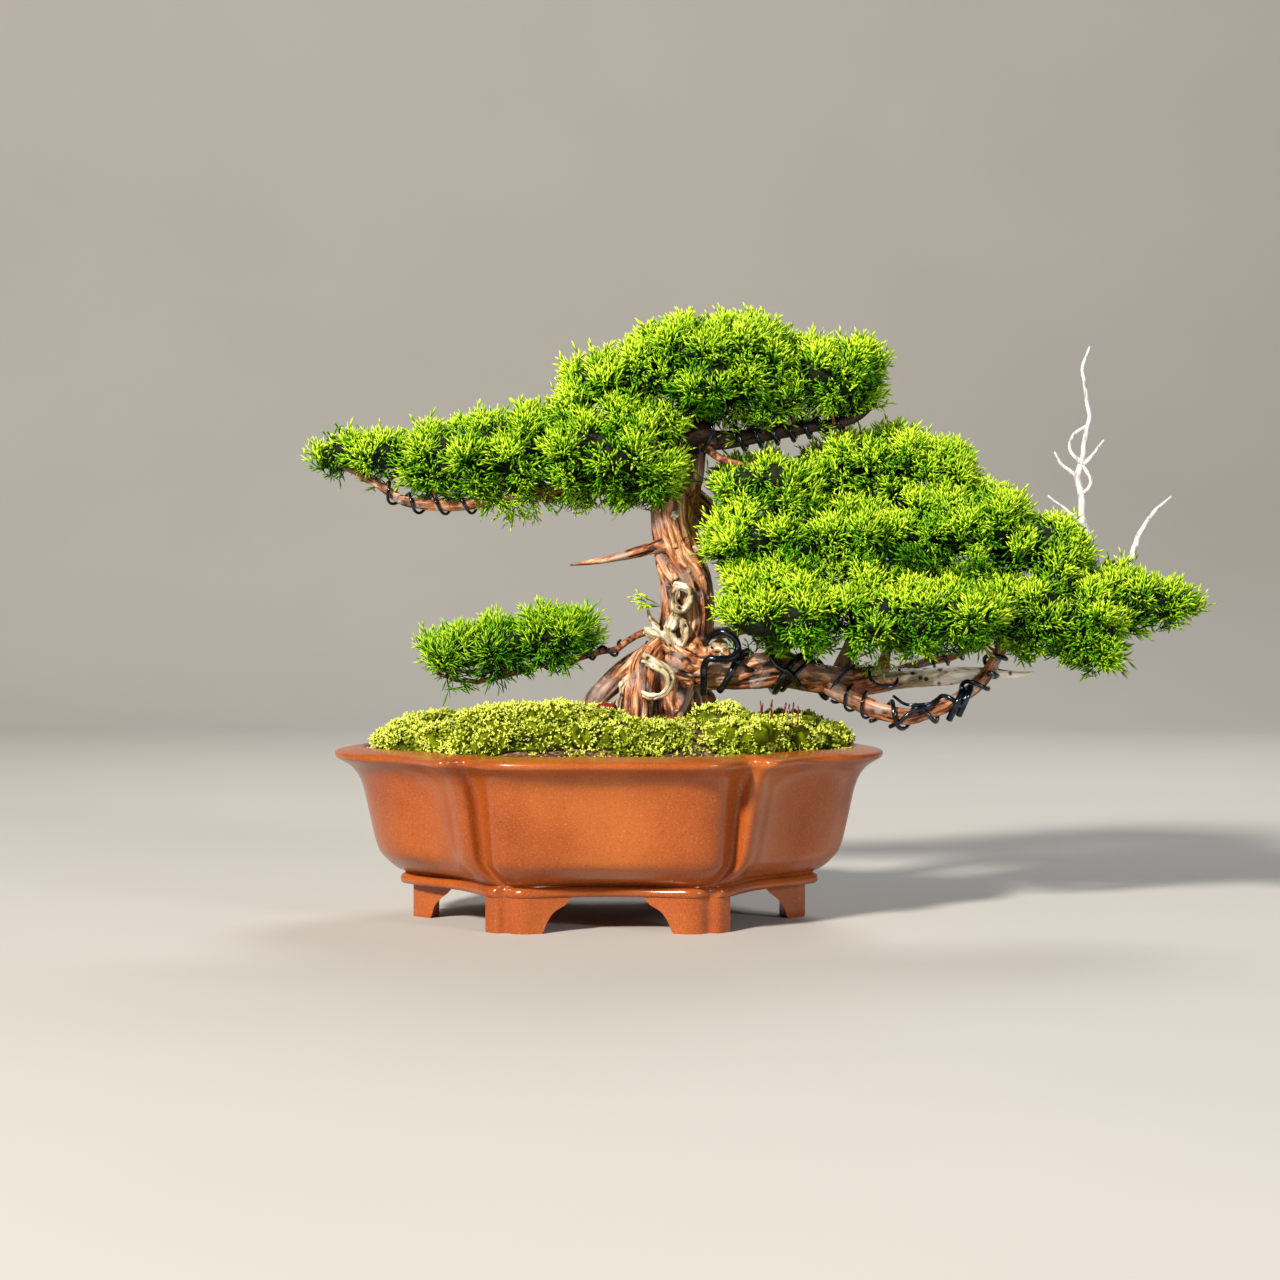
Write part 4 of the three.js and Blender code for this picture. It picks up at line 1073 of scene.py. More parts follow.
# %% [markdown]
# ## One cord and one shoot of foliage
# A single cord is modelled once: a three-sided cone for the tip, whose open ring is extruded down
# and collapsed to a point. With six faces it still reads as a round cord that is fullest near its
# middle. A shoot is three arms that rise from one foot and lean apart, each a flat spray: a cord
# with shorter ones on either side in turn. Twelve cords make one, in a dozen variations.

# %% One cord and one shoot of foliage
TIP_START = 0.6  # where the cord is thickest, as a share of its length
FORKS = (0.42, 0.58, 0.74)  # where the side cords leave an arm

SIDE_TIP = 0.5  # a side cord's foot is as young as its arm is at this part of the way to it
SIDE_LENGTHS = (0.3, 0.46)  # of its arm's length
ARM_LENGTHS = (0.8, 1.08)
ARM_GIRTH = 1.1  # an arm against its side cords
GIRTHS = (0.88, 1.12)
TURN_SCATTER = 0.35  # radians
TILT_SCATTER = 6  # degrees
ROLL_STEP = 2.4  # radians from one cord to the next, so that no two show the same face


def select_edges(piece, test):
    """Goes into edit mode with only those edges selected whose two ends pass the test."""
    bpy.ops.object.mode_set(mode="EDIT")
    bpy.ops.mesh.select_all(action="DESELECT")
    bpy.ops.object.mode_set(mode="OBJECT")
    for edge in piece.data.edges:
        edge.select = all(test(piece.data.vertices[i].co) for i in edge.vertices)
    bpy.ops.object.mode_set(mode="EDIT")
    bpy.ops.mesh.select_mode(type="EDGE")


def points_and_faces(piece):
    """The corners and faces of a small model as arrays; the model itself is removed."""
    points = np.array([v.co for v in piece.data.vertices])
    faces = np.array([list(p.vertices) for p in piece.data.polygons])
    bpy.data.objects.remove(piece)
    return points, faces


cord = primitive(bpy.ops.mesh.primitive_cone_add, vertices=3, radius1=1, radius2=0,
                 depth=1 - TIP_START, end_fill_type="NOTHING", location=(0, 0, (1 + TIP_START) / 2))
bpy.ops.object.transform_apply(location=True)
select_edges(cord, lambda corner: corner.z < 0.9)
bpy.ops.mesh.extrude_edges_move(TRANSFORM_OT_translate={"value": (0, 0, -TIP_START)})
bpy.ops.mesh.merge(type="COLLAPSE")
bpy.ops.mesh.select_all(action="SELECT")
bpy.ops.mesh.quads_convert_to_tris()
bpy.ops.mesh.normals_make_consistent(inside=False)
bpy.ops.object.mode_set(mode="OBJECT")
CORD_POINTS, CORD_FACES = points_and_faces(cord)


def across_of(directions, roll):
    """Two directions across each direction, turned round it by roll."""
    helper = np.where(np.abs(directions[:, 2:]) < 0.9, UP, [1.0, 0.0, 0.0])
    first = unit(np.cross(helper, directions))
    second = np.cross(directions, first)
    cos, sin = np.cos(roll)[:, None], np.sin(roll)[:, None]
    return first * cos + second * sin, second * cos - first * sin


def cords(starts, ends, radii):
    """Many cords at once; returns their points, faces and how far each point is along."""
    lengths = ends - starts
    first, second = across_of(unit(lengths), np.arange(len(starts)) * ROLL_STEP)
    x, y, z = CORD_POINTS.T
    points = (
        starts[:, None]
        + first[:, None] * (x * radii[:, None])[..., None]
        + second[:, None] * (y * radii[:, None])[..., None]
        + lengths[:, None] * z[:, None]
    )
    offsets = np.arange(len(starts))[:, None, None] * len(CORD_POINTS)
    return points.reshape(-1, 3), (CORD_FACES + offsets).reshape(-1, 3), np.tile(z, len(starts))


def shoot(random, arms=3, length=20.0, radius=0.78, spread=27, fork=32, forks=FORKS):
    """Arms that rise from one foot and lean apart, with side cords, in millimetres."""
    starts, ends, tips, girths = [], [], [], []
    turn = random.uniform(0, 2 * np.pi)
    for arm in range(arms):
        angle = turn + arm * 2 * np.pi / arms + random.normal(0, TURN_SCATTER)
        tilt = np.radians(abs(spread + random.normal(0, TILT_SCATTER)))
        outward = np.array([np.cos(angle), np.sin(angle), 0])
        way = outward * np.sin(tilt) + UP * np.cos(tilt)
        arm_end = way * length * random.uniform(*ARM_LENGTHS)
        starts.append(np.zeros(3))
        ends.append(arm_end)
        tips.append((0.0, 1.0))
        girths.append(ARM_GIRTH)
        sideways = unit(np.cross(way, random.normal(0, 1, 3)))
        for index, share in enumerate(forks):
            opening = np.tan(np.radians(fork + random.normal(0, TILT_SCATTER))) * (-1) ** index
            bent = unit(way + sideways * opening)
            starts.append(arm_end * share)
            ends.append(arm_end * share + bent * length * random.uniform(*SIDE_LENGTHS))
            tips.append((share * SIDE_TIP, 1.0))
            girths.append(1.0)
    radii = radius * np.array(girths) * random.uniform(*GIRTHS, len(starts))
    points, faces, along = cords(np.array(starts), np.array(ends), radii)
    low, high = np.repeat(tips, len(CORD_POINTS), axis=0).T
    return points, faces, low + (high - low) * along


dice = np.random.default_rng(7)
SHOOTS = [shoot(dice) for _ in range(12)]
# the lower left pad grows freely: longer, thinner cords that lean apart less
SPIKY_SHOOTS = [shoot(dice, length=23.0, radius=0.62, spread=24, fork=26) for _ in range(8)]
print("a shoot has", len(SHOOTS[0][1]), "faces")

# %% [markdown]
# ## The foliage masses
# The CAD pads say where the foliage is. On the tree, neighbouring pads touch and run into one
# another, so copies of them are melted together, swelled, melted again and shrunk back, which
# fills the clefts between them. Deep inside lies a core of twigs and old brown foliage, coloured
# nearly black as painted shade. It hides the backdrop, as the many layers of a real pad do.

# %% The foliage masses
MASSES = [
    ("left_tip", "left_branch", "left_inner", "apex_left", "apex_crown", "apex_right"),
    ("small", "right_upper", "right_middle", "right_shoulder", "front_row_left",
     "front_row_right", "right_slope", "right_tip"),
    ("lower_left",),
    ("back_low",),
    ("back_high",),
]
CLEFT = 10  # clefts up to twice this width are filled
CORE_SHARE = (0.86, 0.8, 0.67)  # the core's size along X, Y and Z as a share of its pad's
MASS_VOXEL = 4
CORE_LUMPS = 9  # both how far apart and how high they are


def copied(node):
    """A copy of a CAD node's mesh that stands alone, with its split corners merged."""
    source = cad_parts[node]
    piece = bpy.data.objects.new(node + "_copy", source.data.copy())
    bpy.context.scene.collection.objects.link(piece)
    piece.matrix_world = source.matrix_world
    return merged(piece, outward=False)


def swelled(piece, distance):
    points, normals = corners_of(piece.data), normals_of(piece.data)
    set_corners(piece.data, points + normals * np.asarray(distance))


def mass_of(nodes):
    mass = melted(joined("mass", [copied(node) for node in nodes]), MASS_VOXEL, rounds=1)
    if len(nodes) > 1:
        swelled(mass, CLEFT)
        melted(mass, MASS_VOXEL, rounds=4)
        swelled(mass, -CLEFT)
    return mass


PAD_NODES = [f"foliage_{name}" for group in MASSES for name in group]
cores = [copied(node) for node in PAD_NODES]
for core in cores:
    points = corners_of(core.data)
    middle = (points.min(axis=0) + points.max(axis=0)) / 2
    set_corners(core.data, middle + (points - middle) * CORE_SHARE)
core = melted(joined("foliage_core", cores), MASS_VOXEL, rounds=2)
lumps = layered_noise(corners_of(core.data) / CORE_LUMPS, seed=2, layers=3) - 0.5
swelled(core, lumps[:, None] * CORE_LUMPS)
finish_piece(core, THATCH, "foliage")

# %% [markdown]
# ## Setting shoots on a pad
# Points are drawn at random all over a mass, and some of them become the middles of tufts, because
# foliage grows in rosettes of a few centimetres. Round each middle the shoots lean outwards and
# stand a little lower, which leaves the dark gaps between tufts that give real foliage its depth,
# and their tone is darkened there as painted shade. All of them turn up to the light, and few hang
# from the underside; their tone is lighter where they point up, as painted light, and darker on the
# underside, as painted shade. A second layer sits further in, darkened with painted shade.

# %% Setting shoots on a pad
def planted(name, templates, places, directions, rolls, scales, tones):
    """A piece made of copies of the templates, each with its own place, direction and tone."""
    choice = np.arange(len(places)) % len(templates)
    all_points, all_faces, all_tips, all_tones, count = [], [], [], [], 0
    for index, (points, faces, tip) in enumerate(templates):
        mine = choice == index
        if not mine.any():
            continue
        first, second = across_of(directions[mine], rolls[mine])
        local = points[None] * scales[mine, None, None]
        made = (
            places[mine, None]
            + first[:, None] * local[..., :1]
            + second[:, None] * local[..., 1:2]
            + directions[mine, None] * local[..., 2:]
        )
        offsets = np.arange(mine.sum())[:, None, None] * len(points) + count
        all_points.append(made.reshape(-1, 3))
        all_faces.append((faces[None] + offsets).reshape(-1, 3))
        all_tips.append(np.tile(tip, mine.sum()))
        all_tones.append(np.repeat(tones[mine], len(points)))
        count += mine.sum() * len(points)
    return mesh_piece(name, np.vstack(all_points), np.vstack(all_faces),
                      tip=np.concatenate(all_tips), tone=np.concatenate(all_tones))


def surface_points(mesh, spacing_area, random):
    """Random points on a mesh, one to so many square millimetres, and the normals there."""
    mesh.calc_loop_triangles()
    corners = corners_of(mesh)
    triangles = np.array([t.vertices[:] for t in mesh.loop_triangles])
    a, b, c = (corners[triangles[:, k]] for k in range(3))
    normals = np.cross(b - a, c - a)
    areas = np.linalg.norm(normals, axis=1) / 2
    count = int(areas.sum() / spacing_area)
    picked = random.choice(len(areas), count, p=areas / areas.sum())
    u, v = random.uniform(0, 1, (2, count))
    flip = u + v > 1
    u[flip], v[flip] = 1 - u[flip], 1 - v[flip]
    points = a[picked] + (b - a)[picked] * u[:, None] + (c - a)[picked] * v[:, None]
    return points, unit(normals)[picked]


def thinned(points, spacing):
    """The indices of points that lie at least spacing apart, taken in turn."""
    kept = []
    for i, point in enumerate(points):
        if not kept or np.min(np.linalg.norm(points[kept] - point, axis=1)) > spacing:
            kept.append(i)
    return np.array(kept)


def nearest_of(points, others):
    """For each point the index of the nearest of the others."""
    parts = np.array_split(points, max(1, len(points) // 500))
    return np.concatenate([
        ((part[:, None] - others[None]) ** 2).sum(axis=2).argmin(axis=1) for part in parts])


TUFT_SPACING = 23  # between the middles of two tufts
TUFT_RADIUS = 15
TUFT_DROOP = 7.5  # how much lower a shoot stands at the edge of its tuft than in its middle
TUFT_CROWN = 2  # how far the middle of a tuft stands out
SHOOT_SCALES = (0.8, 1.12)
LONG_SHARE, LONG_SCALE = 0.08, 1.25  # some shoots outgrow the others
SHOOT_AREA = 34  # square millimetres of surface to each shoot
SHOOT_REACH = 16  # from a shoot's foot to the surface that its tips come to
KNOB_CLEAR = (110, 215)  # left of this X and under this height the limb's foot stays in view
HANGING_SHARE = 0.5  # of the shoots on the underside
# the second layer's low tone is painted shade, because its shoots sit deeper in the pad
DEEP_SHARE, DEEP_BY, DEEP_TONE = 0.25, 7, 0.25  # the second layer: how many, how deep, how bright
ROOT_DEPTH = 12  # where a twig reaches the foot of a tuft
# how much a shoot follows the surface, the light and its tuft
TOP_LEAN = (0.55, 0.6, 0.8)
UNDER_LEAN = ((1, 1, 0.15), 0.1, 0.35)  # on the underside it points aside instead of down
# the tones' painted light and shade: a mean, lighter where a shoot points up, darker where it is sunk
# and on the underside
MEAN_TONE, LIT_TONE, SUNK_TONE, UNDER_TONE = 0.55, 0.3, 0.09, 0.3
WAY_SCATTER, REACH_SCATTER, TONE_SCATTER = 0.13, 1.2, 0.17


def shoots_on(points, normals, random, tone_shift):
    """Where the shoots of one mass stand, where they point, their sizes and their tones."""
    middles = thinned(points, TUFT_SPACING)
    nearest = nearest_of(points, points[middles])
    offsets = (points - points[middles][nearest]) / TUFT_RADIUS
    sunk = TUFT_DROOP * np.clip(np.linalg.norm(offsets, axis=1), 0, 1.1) ** 2 - TUFT_CROWN
    below = smooth_step(-normals[:, 2], -0.05, 0.5)[:, None]
    upward, outward = (
        normals * surface + UP * light + offsets * tuft
        for surface, light, tuft in (TOP_LEAN, UNDER_LEAN))
    directions = unit(upward * (1 - below) + outward * below
                      + random.normal(0, WAY_SCATTER, normals.shape))
    scales = random.uniform(*SHOOT_SCALES, len(points))
    scales[random.uniform(0, 1, len(points)) < LONG_SHARE] *= LONG_SCALE
    reach = SHOOT_REACH * np.minimum(scales, 1.05) + random.normal(0, REACH_SCATTER, len(points))
    places = points - directions * reach[:, None] - normals * sunk[:, None]
    # painted light and shade: brightest where a shoot points up and stands out, darkest where it is
    # sunk and on the underside
    tones = MEAN_TONE + LIT_TONE * directions[:, 2] - SUNK_TONE * sunk - UNDER_TONE * below[:, 0]
    tones = np.clip(tones + random.normal(0, TONE_SCATTER, len(points)) + tone_shift, 0, 1)
    return places, directions, scales, tones, middles


PAD_CORNERS = [corners_of(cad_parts[node].data) for node in PAD_NODES]
tuft_roots, tuft_normals = [], []
for seed, group in enumerate(MASSES):
    random = np.random.default_rng(100 + seed)
    mass = mass_of([f"foliage_{name}" for name in group])
    templates, tone_shift = (SPIKY_SHOOTS, -0.25) if group == ("lower_left",) else (SHOOTS, 0.0)
    points, normals = surface_points(mass.data, SHOOT_AREA, random)
    bpy.data.objects.remove(mass)
    keep = (normals[:, 2] > -0.3) | (random.uniform(0, 1, len(points)) < HANGING_SHARE)
    keep &= (points[:, 0] > KNOB_CLEAR[0]) | (points[:, 0] < 0) | (points[:, 2] > KNOB_CLEAR[1])
    points, normals = points[keep], normals[keep]
    places, directions, scales, tones, middles = shoots_on(points, normals, random, tone_shift)
    tuft_roots.append(points[middles] - normals[middles] * ROOT_DEPTH)
    tuft_normals.append(normals[middles])
    indices = [PAD_NODES.index(f"foliage_{name}") for name in group]
    owners = np.repeat(indices, [len(PAD_CORNERS[i]) for i in indices])
    owner = owners[nearest_of(points, np.vstack([PAD_CORNERS[i] for i in indices]))]
    for index in indices:
        mine = owner == index
        # the deeper shoots below get their tone darkened as painted shade
        deep = mine & (random.uniform(0, 1, len(points)) < DEEP_SHARE)
        name = PAD_NODES[index]
        deep_ways = unit(directions[deep] + random.normal(0, 0.3, (deep.sum(), 3)))
        pad = planted(
            name.replace("foliage", "pad"), templates,
            np.vstack([places[mine], places[deep] - normals[deep] * DEEP_BY]),
            np.vstack([directions[mine], deep_ways]),
            random.uniform(0, 2 * np.pi, mine.sum() + deep.sum()),
            np.concatenate([scales[mine], scales[deep]]),
            np.concatenate([tones[mine], tones[deep] * DEEP_TONE]),
        )
        finish_piece(pad, FOLIAGE, "foliage", name)

# %% [markdown]
# ## Stray sprigs
# A few young shoots stand by themselves: a flat one on the left of the trunk, dull ones over the
# limb whose low tone is painted shade, and one that hangs from it. Many more clothe the two branches
# that carry the upper pads.

# %% Stray sprigs
# place, direction, size and tone of each shoot
SPRIGS = [
    ((37, -22, 222), (-1, -0.3, 0.35), 0.9, 0.9),
    ((33, -24, 224), (-1, -0.1, 0.05), 0.8, 0.9),
    ((27, -25, 225), (-1, -0.4, 0.2), 0.7, 1.0),
    # these four stand over the limb, and their low tone is painted shade
    ((92, -20, 190), (-0.4, -0.6, 0.6), 0.9, 0.2),
    ((100, -24, 188), (0.2, -0.8, 0.5), 0.9, 0.1),
    ((110, -22, 188), (0.5, -0.6, 0.6), 1.0, 0.2),
    ((120, -24, 189), (0.3, -0.8, 0.6), 0.9, 0.15),
    ((188, -34, 190), (0.1, -0.6, -0.7), 0.9, 0.5),
    ((190, -36, 186), (0.3, -0.4, -0.8), 0.8, 0.6),
    ((186, -36, 184), (-0.4, -0.5, -0.6), 0.7, 0.5),
]
# branch, from and to which share of it, how many shoots, and where they lean
CLOTHED = [
    (LEFT_BRANCH, 0.1, 0.52, 100, (0, -0.5, 0)),
    (APEX_BRANCH, 0.1, 0.95, 50, (0, -0.2, 0.9)),
]
CLOTHED_SCALES = (0.6, 0.95)
CLOTHED_TONES = (0.2, 0.8)
SPRIG_FOOT = 0.8  # of the branch's radius, so that a shoot's foot is hidden in the bark
SPRIG_TURN = 1.3  # radians from one sprig to the next


def clothing(branch, first, last, count, lean, random):
    """Rows like those of SPRIGS, for shoots that stand round a branch and hide it."""
    rows = centreline(branch, 1.0)
    picked = rows[random.integers(int(first * len(rows)), int(last * len(rows)), count)]
    ways = unit(random.normal(0, 0.5, (count, 3)) + lean)
    spots = picked[:, :3] + ways * picked[:, 3:] * SPRIG_FOOT
    return [(spot, way, random.uniform(*CLOTHED_SCALES), random.uniform(*CLOTHED_TONES))
            for spot, way in zip(spots, ways)]


random = np.random.default_rng(210)
sprig_rows = SPRIGS + [row for branch in CLOTHED for row in clothing(*branch, random)]
spots, ways, scales, tones = (np.array(column, float) for column in zip(*sprig_rows))
rolls = np.arange(len(spots)) * SPRIG_TURN
sprigs = planted("stray_sprigs", SHOOTS, spots, unit(ways), rolls, scales, tones)
finish_piece(sprigs, FOLIAGE, "foliage")

# %% [markdown]
# ## Twigs inside the pads
# Brown twigs leave the branches and carry the tufts on the underside of each pad. They would be
# slow as separate curves, so they are swept together: rings of four points along each path, joined
# by faces, with a point at either end.

# %% Twigs inside the pads
TWIG_SIDES = 4
TWIG_FOOT, TWIG_TIP = 1.5, 0.7  # radii
SAG = 0.12  # of a twig's length
TWIG_REACH = 75  # tufts that are further from the wood are carried by other twigs
WOOD_ROWS = np.vstack([centreline(b, 3.0)[:, :3] for b in [*wood_routes, *INNER_BRANCHES]])


def twig_rows(root, random):
    """A twig from the nearest wood to the foot of a tuft, bent a little on its way."""
    start = WOOD_ROWS[np.linalg.norm(WOOD_ROWS - root, axis=1).argmin()]
    length = np.linalg.norm(root - start)
    bow = random.normal(0, 0.1 * length + 0.5, 3) - UP * SAG * length
    share = np.linspace(0, 1, 5)[:, None]
    path = start + (root - start) * share + bow * (4 * share * (1 - share))
    return np.column_stack([path, TWIG_FOOT + (TWIG_TIP - TWIG_FOOT) * share[:, 0]])


def swept(paths):
    """Tubes along many paths at once, from rows of x, y, z, radius; returns points and faces."""
    all_points, all_faces, count = [], [], 0
    angles = 2 * np.pi * np.arange(TWIG_SIDES) / TWIG_SIDES
    for rows in paths:
        tangents = unit(np.gradient(rows[:, :3], axis=0))
        first, second = side_vectors(tangents)
        ring = (first[:, None] * np.cos(angles)[:, None]
                + second[:, None] * np.sin(angles)[:, None])
        points = rows[:, None, :3] + ring * rows[:, None, 3:]
        all_points += [points.reshape(-1, 3), rows[:1, :3], rows[-1:, :3]]
        last = len(rows) * TWIG_SIDES
        for k in range(TWIG_SIDES):
            n = (k + 1) % TWIG_SIDES
            low = np.arange(len(rows) - 1) * TWIG_SIDES
            high = low + TWIG_SIDES
            all_faces.append(np.column_stack([low + k, low + n, high + n]) + count)
            all_faces.append(np.column_stack([low + k, high + n, high + k]) + count)
            ends = [[last, n, k], [last + 1, last - TWIG_SIDES + k, last - TWIG_SIDES + n]]
            all_faces.append(np.array(ends) + count)
        count += last + 2
    return np.vstack(all_points), np.vstack(all_faces)


dice = np.random.default_rng(31)
roots, root_normals = np.vstack(tuft_roots), np.vstack(tuft_normals)
gaps = np.array([np.linalg.norm(WOOD_ROWS - root, axis=1).min() for root in roots])
carried = roots[(root_normals[:, 2] < 0.2) & (gaps < TWIG_REACH)]
twigs = mesh_piece("pad_twigs", *swept([twig_rows(root, dice) for root in carried]))
finish_piece(twigs, TWIG, "bark_and_deadwood")

# %% [markdown]
# ## Moss
# Moss grows in swelling cushions of tiny upright shoots. Each CAD cushion is copied, melted to an
# even skin and swelled into bulges with sharp clefts between them, because each one has grown from
# a plant of its own. Then it is covered with tufts of short cords, which are darkened in the clefts
# as painted shade, and lighter on the bulges, partly for dry silvery tips and partly as painted
# light. Between the cushions the moss is thinner, and patches of brown soil are left.

# %% Moss
MOSS_AREA = 6.5  # square millimetres to each tuft on a cushion
THIN_MOSS_AREA = 14  # and on the soil between the cushions
LUMP_SIZE = 17
LUMP_HEIGHT = 12
LUMP_LEVEL = 0.75  # bulges over this rise from the CAD cushion, and clefts sink into it
SKIN_ROUGHNESS = 3.5  # from one small bump of a cushion to the next
SKIN_RELIEF = 2
MOSS_SINK = 1.2  # how deep a tuft stands in its cushion
MOSS_SCALES = (0.65, 1.3)
MOSS_TURNS = (0, 6.28)  # radians
BARE_RIGHT_OF = 60  # brown patches where the moss has died back
BARE_SIZE, BARE_FROM = 12, 0.6  # the size of the patches, and the noise from which the soil is bare
THIN_SIZE, THIN_FROM = 11, 0.46  # the same for the thin moss, which grows over this
MOSS_TUFTS = [
    *(shoot(dice, arms=1, length=5.6, radius=0.62, spread=10, fork=34, forks=(0.4, 0.6))
      for _ in range(3)),
    *(shoot(dice, arms=2, length=4.4, radius=0.55, spread=28, fork=34, forks=(0.5,))
      for _ in range(3)),
]


def bulges(points):
    """From 0 in the clefts to about 1 on the bulges of the moss."""
    noise = layered_noise(points / LUMP_SIZE, seed=60, layers=2)
    return np.minimum(np.sqrt(np.abs(noise - 0.5) * 6), 1)


def moss_shoots(name, points, normals, random):
    """Tufts at these points; those on the bulges are lighter, partly dry silvery tips and partly
    painted light, and those in the clefts darker with painted shade.
    """
    leans = unit(normals + UP * 0.4 + random.normal(0, 0.3, normals.shape))
    # painted light and shade: tufts on the bulges get a lighter tone and those in the clefts a darker
    # one
    raised = smooth_step(bulges(points), 0.4, 0.95)
    tones = np.clip(raised + random.normal(0, 0.22, len(points)), 0, 1)
    places = points - leans * MOSS_SINK
    dead = layered_noise(points / BARE_SIZE, seed=91, layers=2) >= BARE_FROM
    dead &= points[:, 0] >= BARE_RIGHT_OF
    places, leans, tones = places[~dead], leans[~dead], tones[~dead]
    tufts = planted(name, MOSS_TUFTS, places, leans, random.uniform(*MOSS_TURNS, len(places)),
                    random.uniform(*MOSS_SCALES, len(places)), tones)
    finish_piece(tufts, MOSS, "moss")


def moss_cushion(node, seed):
    random = np.random.default_rng(seed)
    cushion = melted(copied(node), voxel=2.4, rounds=12)
    cushion.name = node.replace("moss", "cushion")
    points = corners_of(cushion.data)
    upward = np.clip(normals_of(cushion.data)[:, 2:] + 0.3, 0, 1)
    rough = value_noise(points / SKIN_ROUGHNESS, 4)
    heights = (bulges(points) - LUMP_LEVEL) * LUMP_HEIGHT + rough * SKIN_RELIEF
    swelled(cushion, upward * heights[:, None])
    # the skin under the tufts: dark, with painted shade deepest in the clefts and a lighter tone on
    # the bulges
    paint_attribute(cushion.data, "tip", 0.02 + 0.45 * rough)
    paint_attribute(cushion.data, "tone", bulges(points) * 0.4)
    points, normals = surface_points(cushion.data, MOSS_AREA, random)
    seen = normals[:, 2] > -0.5
    moss_shoots(cushion.name + "_tufts", points[seen], normals[seen], random)
    finish_piece(cushion, MOSS, "moss", node, smooth=True)


MOSS_NODES = sorted(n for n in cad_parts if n.startswith("moss_"))
for seed, node in enumerate(MOSS_NODES):
    moss_cushion(node, 300 + seed)

random = np.random.default_rng(320)
points, normals = surface_points(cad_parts["soil"].data, THIN_MOSS_AREA, random)
mossy = layered_noise(points / THIN_SIZE, seed=44, layers=2) > THIN_FROM
mossy &= normals[:, 2] > 0.4
moss_shoots("thin_moss", points[mossy], normals[mossy], random)

# %% [markdown]
# ## Small things on the moss
# A waxy red-brown cap and a dry brown one stand in the front cushion, a few red bristles carry the
# moss's spore capsules, straw has fallen between the cushions, and pale grit lies along the rim.

# %% Small things on the moss
CAP = mottled("waxy_red_brown_cap", 5, 3.0, [(0.35, "#3a0f0c"), (0.65, "#7c2a1c")],
              Roughness=0.25, IOR=1.45)
STRAW = mottled("dry_straw", 6, 2.0, [(0.35, "#9a7a44"), (0.65, "#e2cf9c")],
                Roughness=0.7, IOR=1.4)
CAPS = [("red_cap", (-1, -66, 152), (7.5, 7, 5), CAP), ("dry_cap", (-30, -64, 149), (10, 8, 5), TWIG)]
BRISTLE_FEET = [
    (104, -70, 142), (106, -66, 143), (115, -70, 141), (119, -64, 142), (123, -70, 141),
    (127, -66, 142), (131, -70, 140), (112, -60, 144),
]
BRISTLE_RADII = [0.45, 0.4, 0.4, 0.75, 0.5]  # the capsule is the thick part
BRISTLE_DEPTH, BRISTLE_HEIGHT = 4, 14  # in the moss and over it
STRAWS = 70
STRAW_RADII = [0.4, 0.5, 0.3]
STRAW_FIELD = ((-150, 150), (-110, -40))  # along X and Y
SOIL_OVAL = (170, 115)  # its half axes; straw lies in its inner nine tenths
STRAW_SLOPES, STRAW_LENGTHS = (-0.1, 0.25), (5, 12)
STRAW_BOW = 1.2
UNDER_A_STRAW = 9  # the highest moss within this distance carries it
STRAW_LIFT = 2.5
BARE_SOIL_TOP = 126
GRIT_SHARE = 0.3  # of the places along the rim
GRIT_FROM_RIM, GRIT_HEIGHTS, GRIT_RADII = (1, 7), (120.5, 122), (0.5, 1.3)

for name, place_mm, radii, material in CAPS:
    cap = primitive(bpy.ops.mesh.primitive_uv_sphere_add, segments=24, ring_count=14, radius=1)
    cap.name = name
    points = np.array([v.co for v in cap.data.vertices])
    set_corners(cap.data, points * radii + place_mm)
    finish_piece(cap, material, "moss", smooth=True)

dice = np.random.default_rng(55)
bristles = []
for foot_point in np.array(BRISTLE_FEET):
    lean = (*dice.normal(0, 2.5, 2), BRISTLE_HEIGHT)
    rows = np.linspace(foot_point - UP * BRISTLE_DEPTH, foot_point + lean, len(BRISTLE_RADII))
    bristles.append(np.column_stack([rows, BRISTLE_RADII]))
finish_piece(mesh_piece("spore_bristles", *swept(bristles)), CAP, "moss")

ground = np.vstack([corners_of(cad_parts[n].data) for n in [*MOSS_NODES, "soil"]])
straws = []
for _ in range(STRAWS):
    x, y = (dice.uniform(*ends) for ends in STRAW_FIELD)
    if np.hypot(x / SOIL_OVAL[0], y / SOIL_OVAL[1]) > 0.9:
        continue
    way = dice.uniform(0, 2 * np.pi)
    reach = np.array([np.cos(way), np.sin(way), dice.uniform(*STRAW_SLOPES)])
    reach *= dice.uniform(*STRAW_LENGTHS)
    near = np.hypot(ground[:, 0] - x, ground[:, 1] - y) < UNDER_A_STRAW
    start = np.array([x, y, ground[near, 2].max() + STRAW_LIFT if near.any() else BARE_SOIL_TOP])
    rows = np.array([start, start + reach * 0.5 + UP * STRAW_BOW, start + reach])
    straws.append(np.column_stack([rows, STRAW_RADII]))
finish_piece(mesh_piece("straw", *swept(straws)), STRAW, "soil")

grit_places = outline(0.44, 24)
grit_places = grit_places[dice.uniform(0, 1, len(grit_places)) < GRIT_SHARE]
stone_points, stone_faces = points_and_faces(
    primitive(bpy.ops.mesh.primitive_ico_sphere_add, subdivisions=1, radius=1))
inward = unit(-grit_places)
middles = np.column_stack([grit_places + inward * dice.uniform(*GRIT_FROM_RIM, (len(inward), 1)),
                           dice.uniform(*GRIT_HEIGHTS, len(inward))])
sizes = dice.uniform(*GRIT_RADII, (len(middles), 1, 1))
points = (middles[:, None] + stone_points[None] * sizes).reshape(-1, 3)
faces = (stone_faces[None] + np.arange(len(middles))[:, None, None] * len(stone_points))
finish_piece(mesh_piece("pale_grit", points, faces.reshape(-1, 3)), STRAW, "soil")

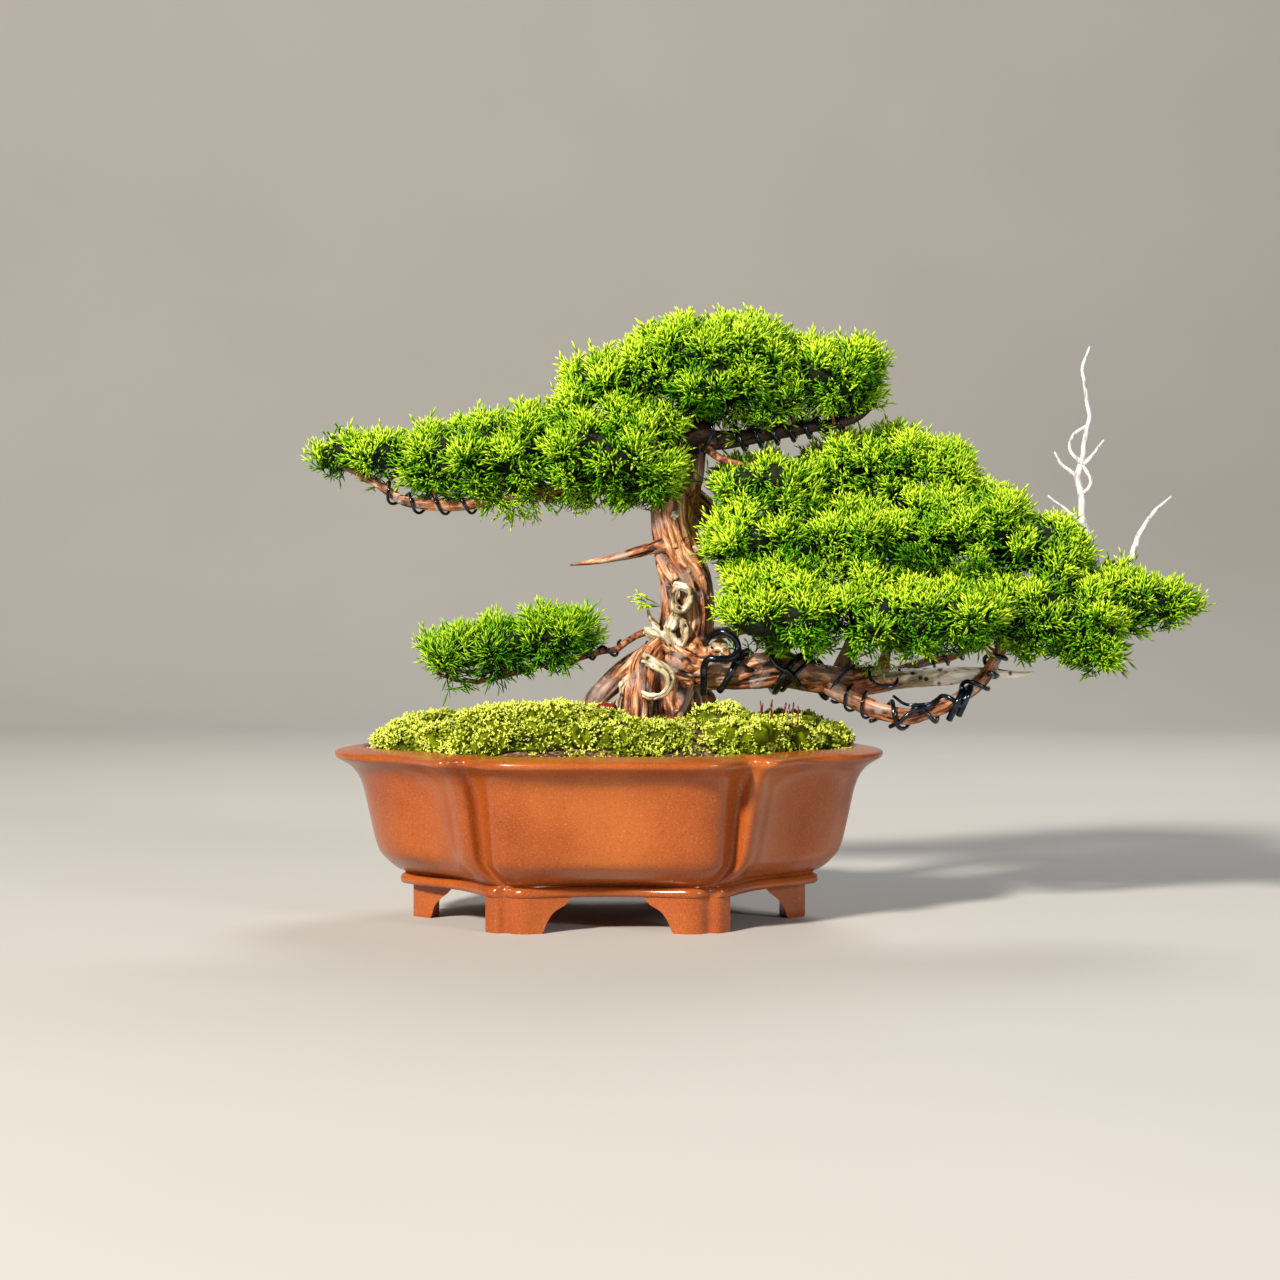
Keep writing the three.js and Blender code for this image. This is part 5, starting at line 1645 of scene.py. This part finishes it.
# %% [markdown]
# ## Floor, light and camera
# A pale sweep of paper and three soft lamps, as in a plain studio. The camera stands where
# the photographer stood: 1.86 m in front of the pot, at the height of the lower branches.

# %% Floor, light and camera
PAPER = mottled("pale_paper", 400, 2.0, [(0.3, "#b2b0ab"), (0.7, "#b5b3ae")], Roughness=0.9)
FLOOR_SIZE = 8  # metres, like the other measures of the sweep
WALL_HEIGHT = 4
SWEEP_RADIUS = 1.6

floor = primitive(bpy.ops.mesh.primitive_plane_add, size=FLOOR_SIZE)
floor.name = "paper_sweep"
select_edges(floor, lambda corner: corner.y > 0)
bpy.ops.mesh.extrude_edges_move(TRANSFORM_OT_translate={"value": (0, 0, WALL_HEIGHT)})
select_edges(floor, lambda corner: corner.y > 0 and corner.z < WALL_HEIGHT / 2)
bpy.ops.mesh.bevel(offset=SWEEP_RADIUS, segments=16)
bpy.ops.object.mode_set(mode="OBJECT")
bpy.ops.object.shade_smooth()
floor.data.materials.append(PAPER)

TARGET = in_frame((100, 0, 230))


def lamp(name, offset, size, power, colour):
    light = bpy.data.lights.new(name, "AREA")
    light.size = size
    light.energy = power
    light.color = linear(colour)[:3]
    piece = bpy.data.objects.new(name, light)
    bpy.context.scene.collection.objects.link(piece)
    piece.location = TARGET + np.array(offset)
    piece.rotation_euler = Vector(offset).to_track_quat("Z", "Y").to_euler()


lamp("key", (-2.7, -3.9, 2.7), 0.6, 590, "#fff7ec")
lamp("fill", (2.6, -2.6, 1.0), 0.6, 48, "#eef4ff")
lamp("back", (0.6, 1.8, 1.9), 1.0, 35, "#ffffff")

WORLD_STRENGTH = 0.08
world = bpy.data.worlds.new("studio")
bpy.context.scene.world = world
world.use_nodes = True
background = world.node_tree.nodes["Background"]
background.inputs["Color"].default_value = linear("#e9edf2")
background.inputs["Strength"].default_value = WORLD_STRENGTH
bpy.context.scene.view_settings.view_transform = "Standard"

CAMERA_PLACE = (22, -1857, 237)
FOCAL_LENGTH = 73.1
SENSOR_WIDTH = 36
CAMERA_DIP = 1.21  # degrees
camera = bpy.data.objects.new("camera", bpy.data.cameras.new("camera"))
bpy.context.scene.collection.objects.link(camera)
camera.location = in_frame(CAMERA_PLACE)
camera.rotation_euler = (math.radians(90 - CAMERA_DIP), 0, 0)
camera.data.lens = FOCAL_LENGTH
camera.data.sensor_width = SENSOR_WIDTH
bpy.context.scene.camera = camera
print("the camera stands at", tuple(camera.location))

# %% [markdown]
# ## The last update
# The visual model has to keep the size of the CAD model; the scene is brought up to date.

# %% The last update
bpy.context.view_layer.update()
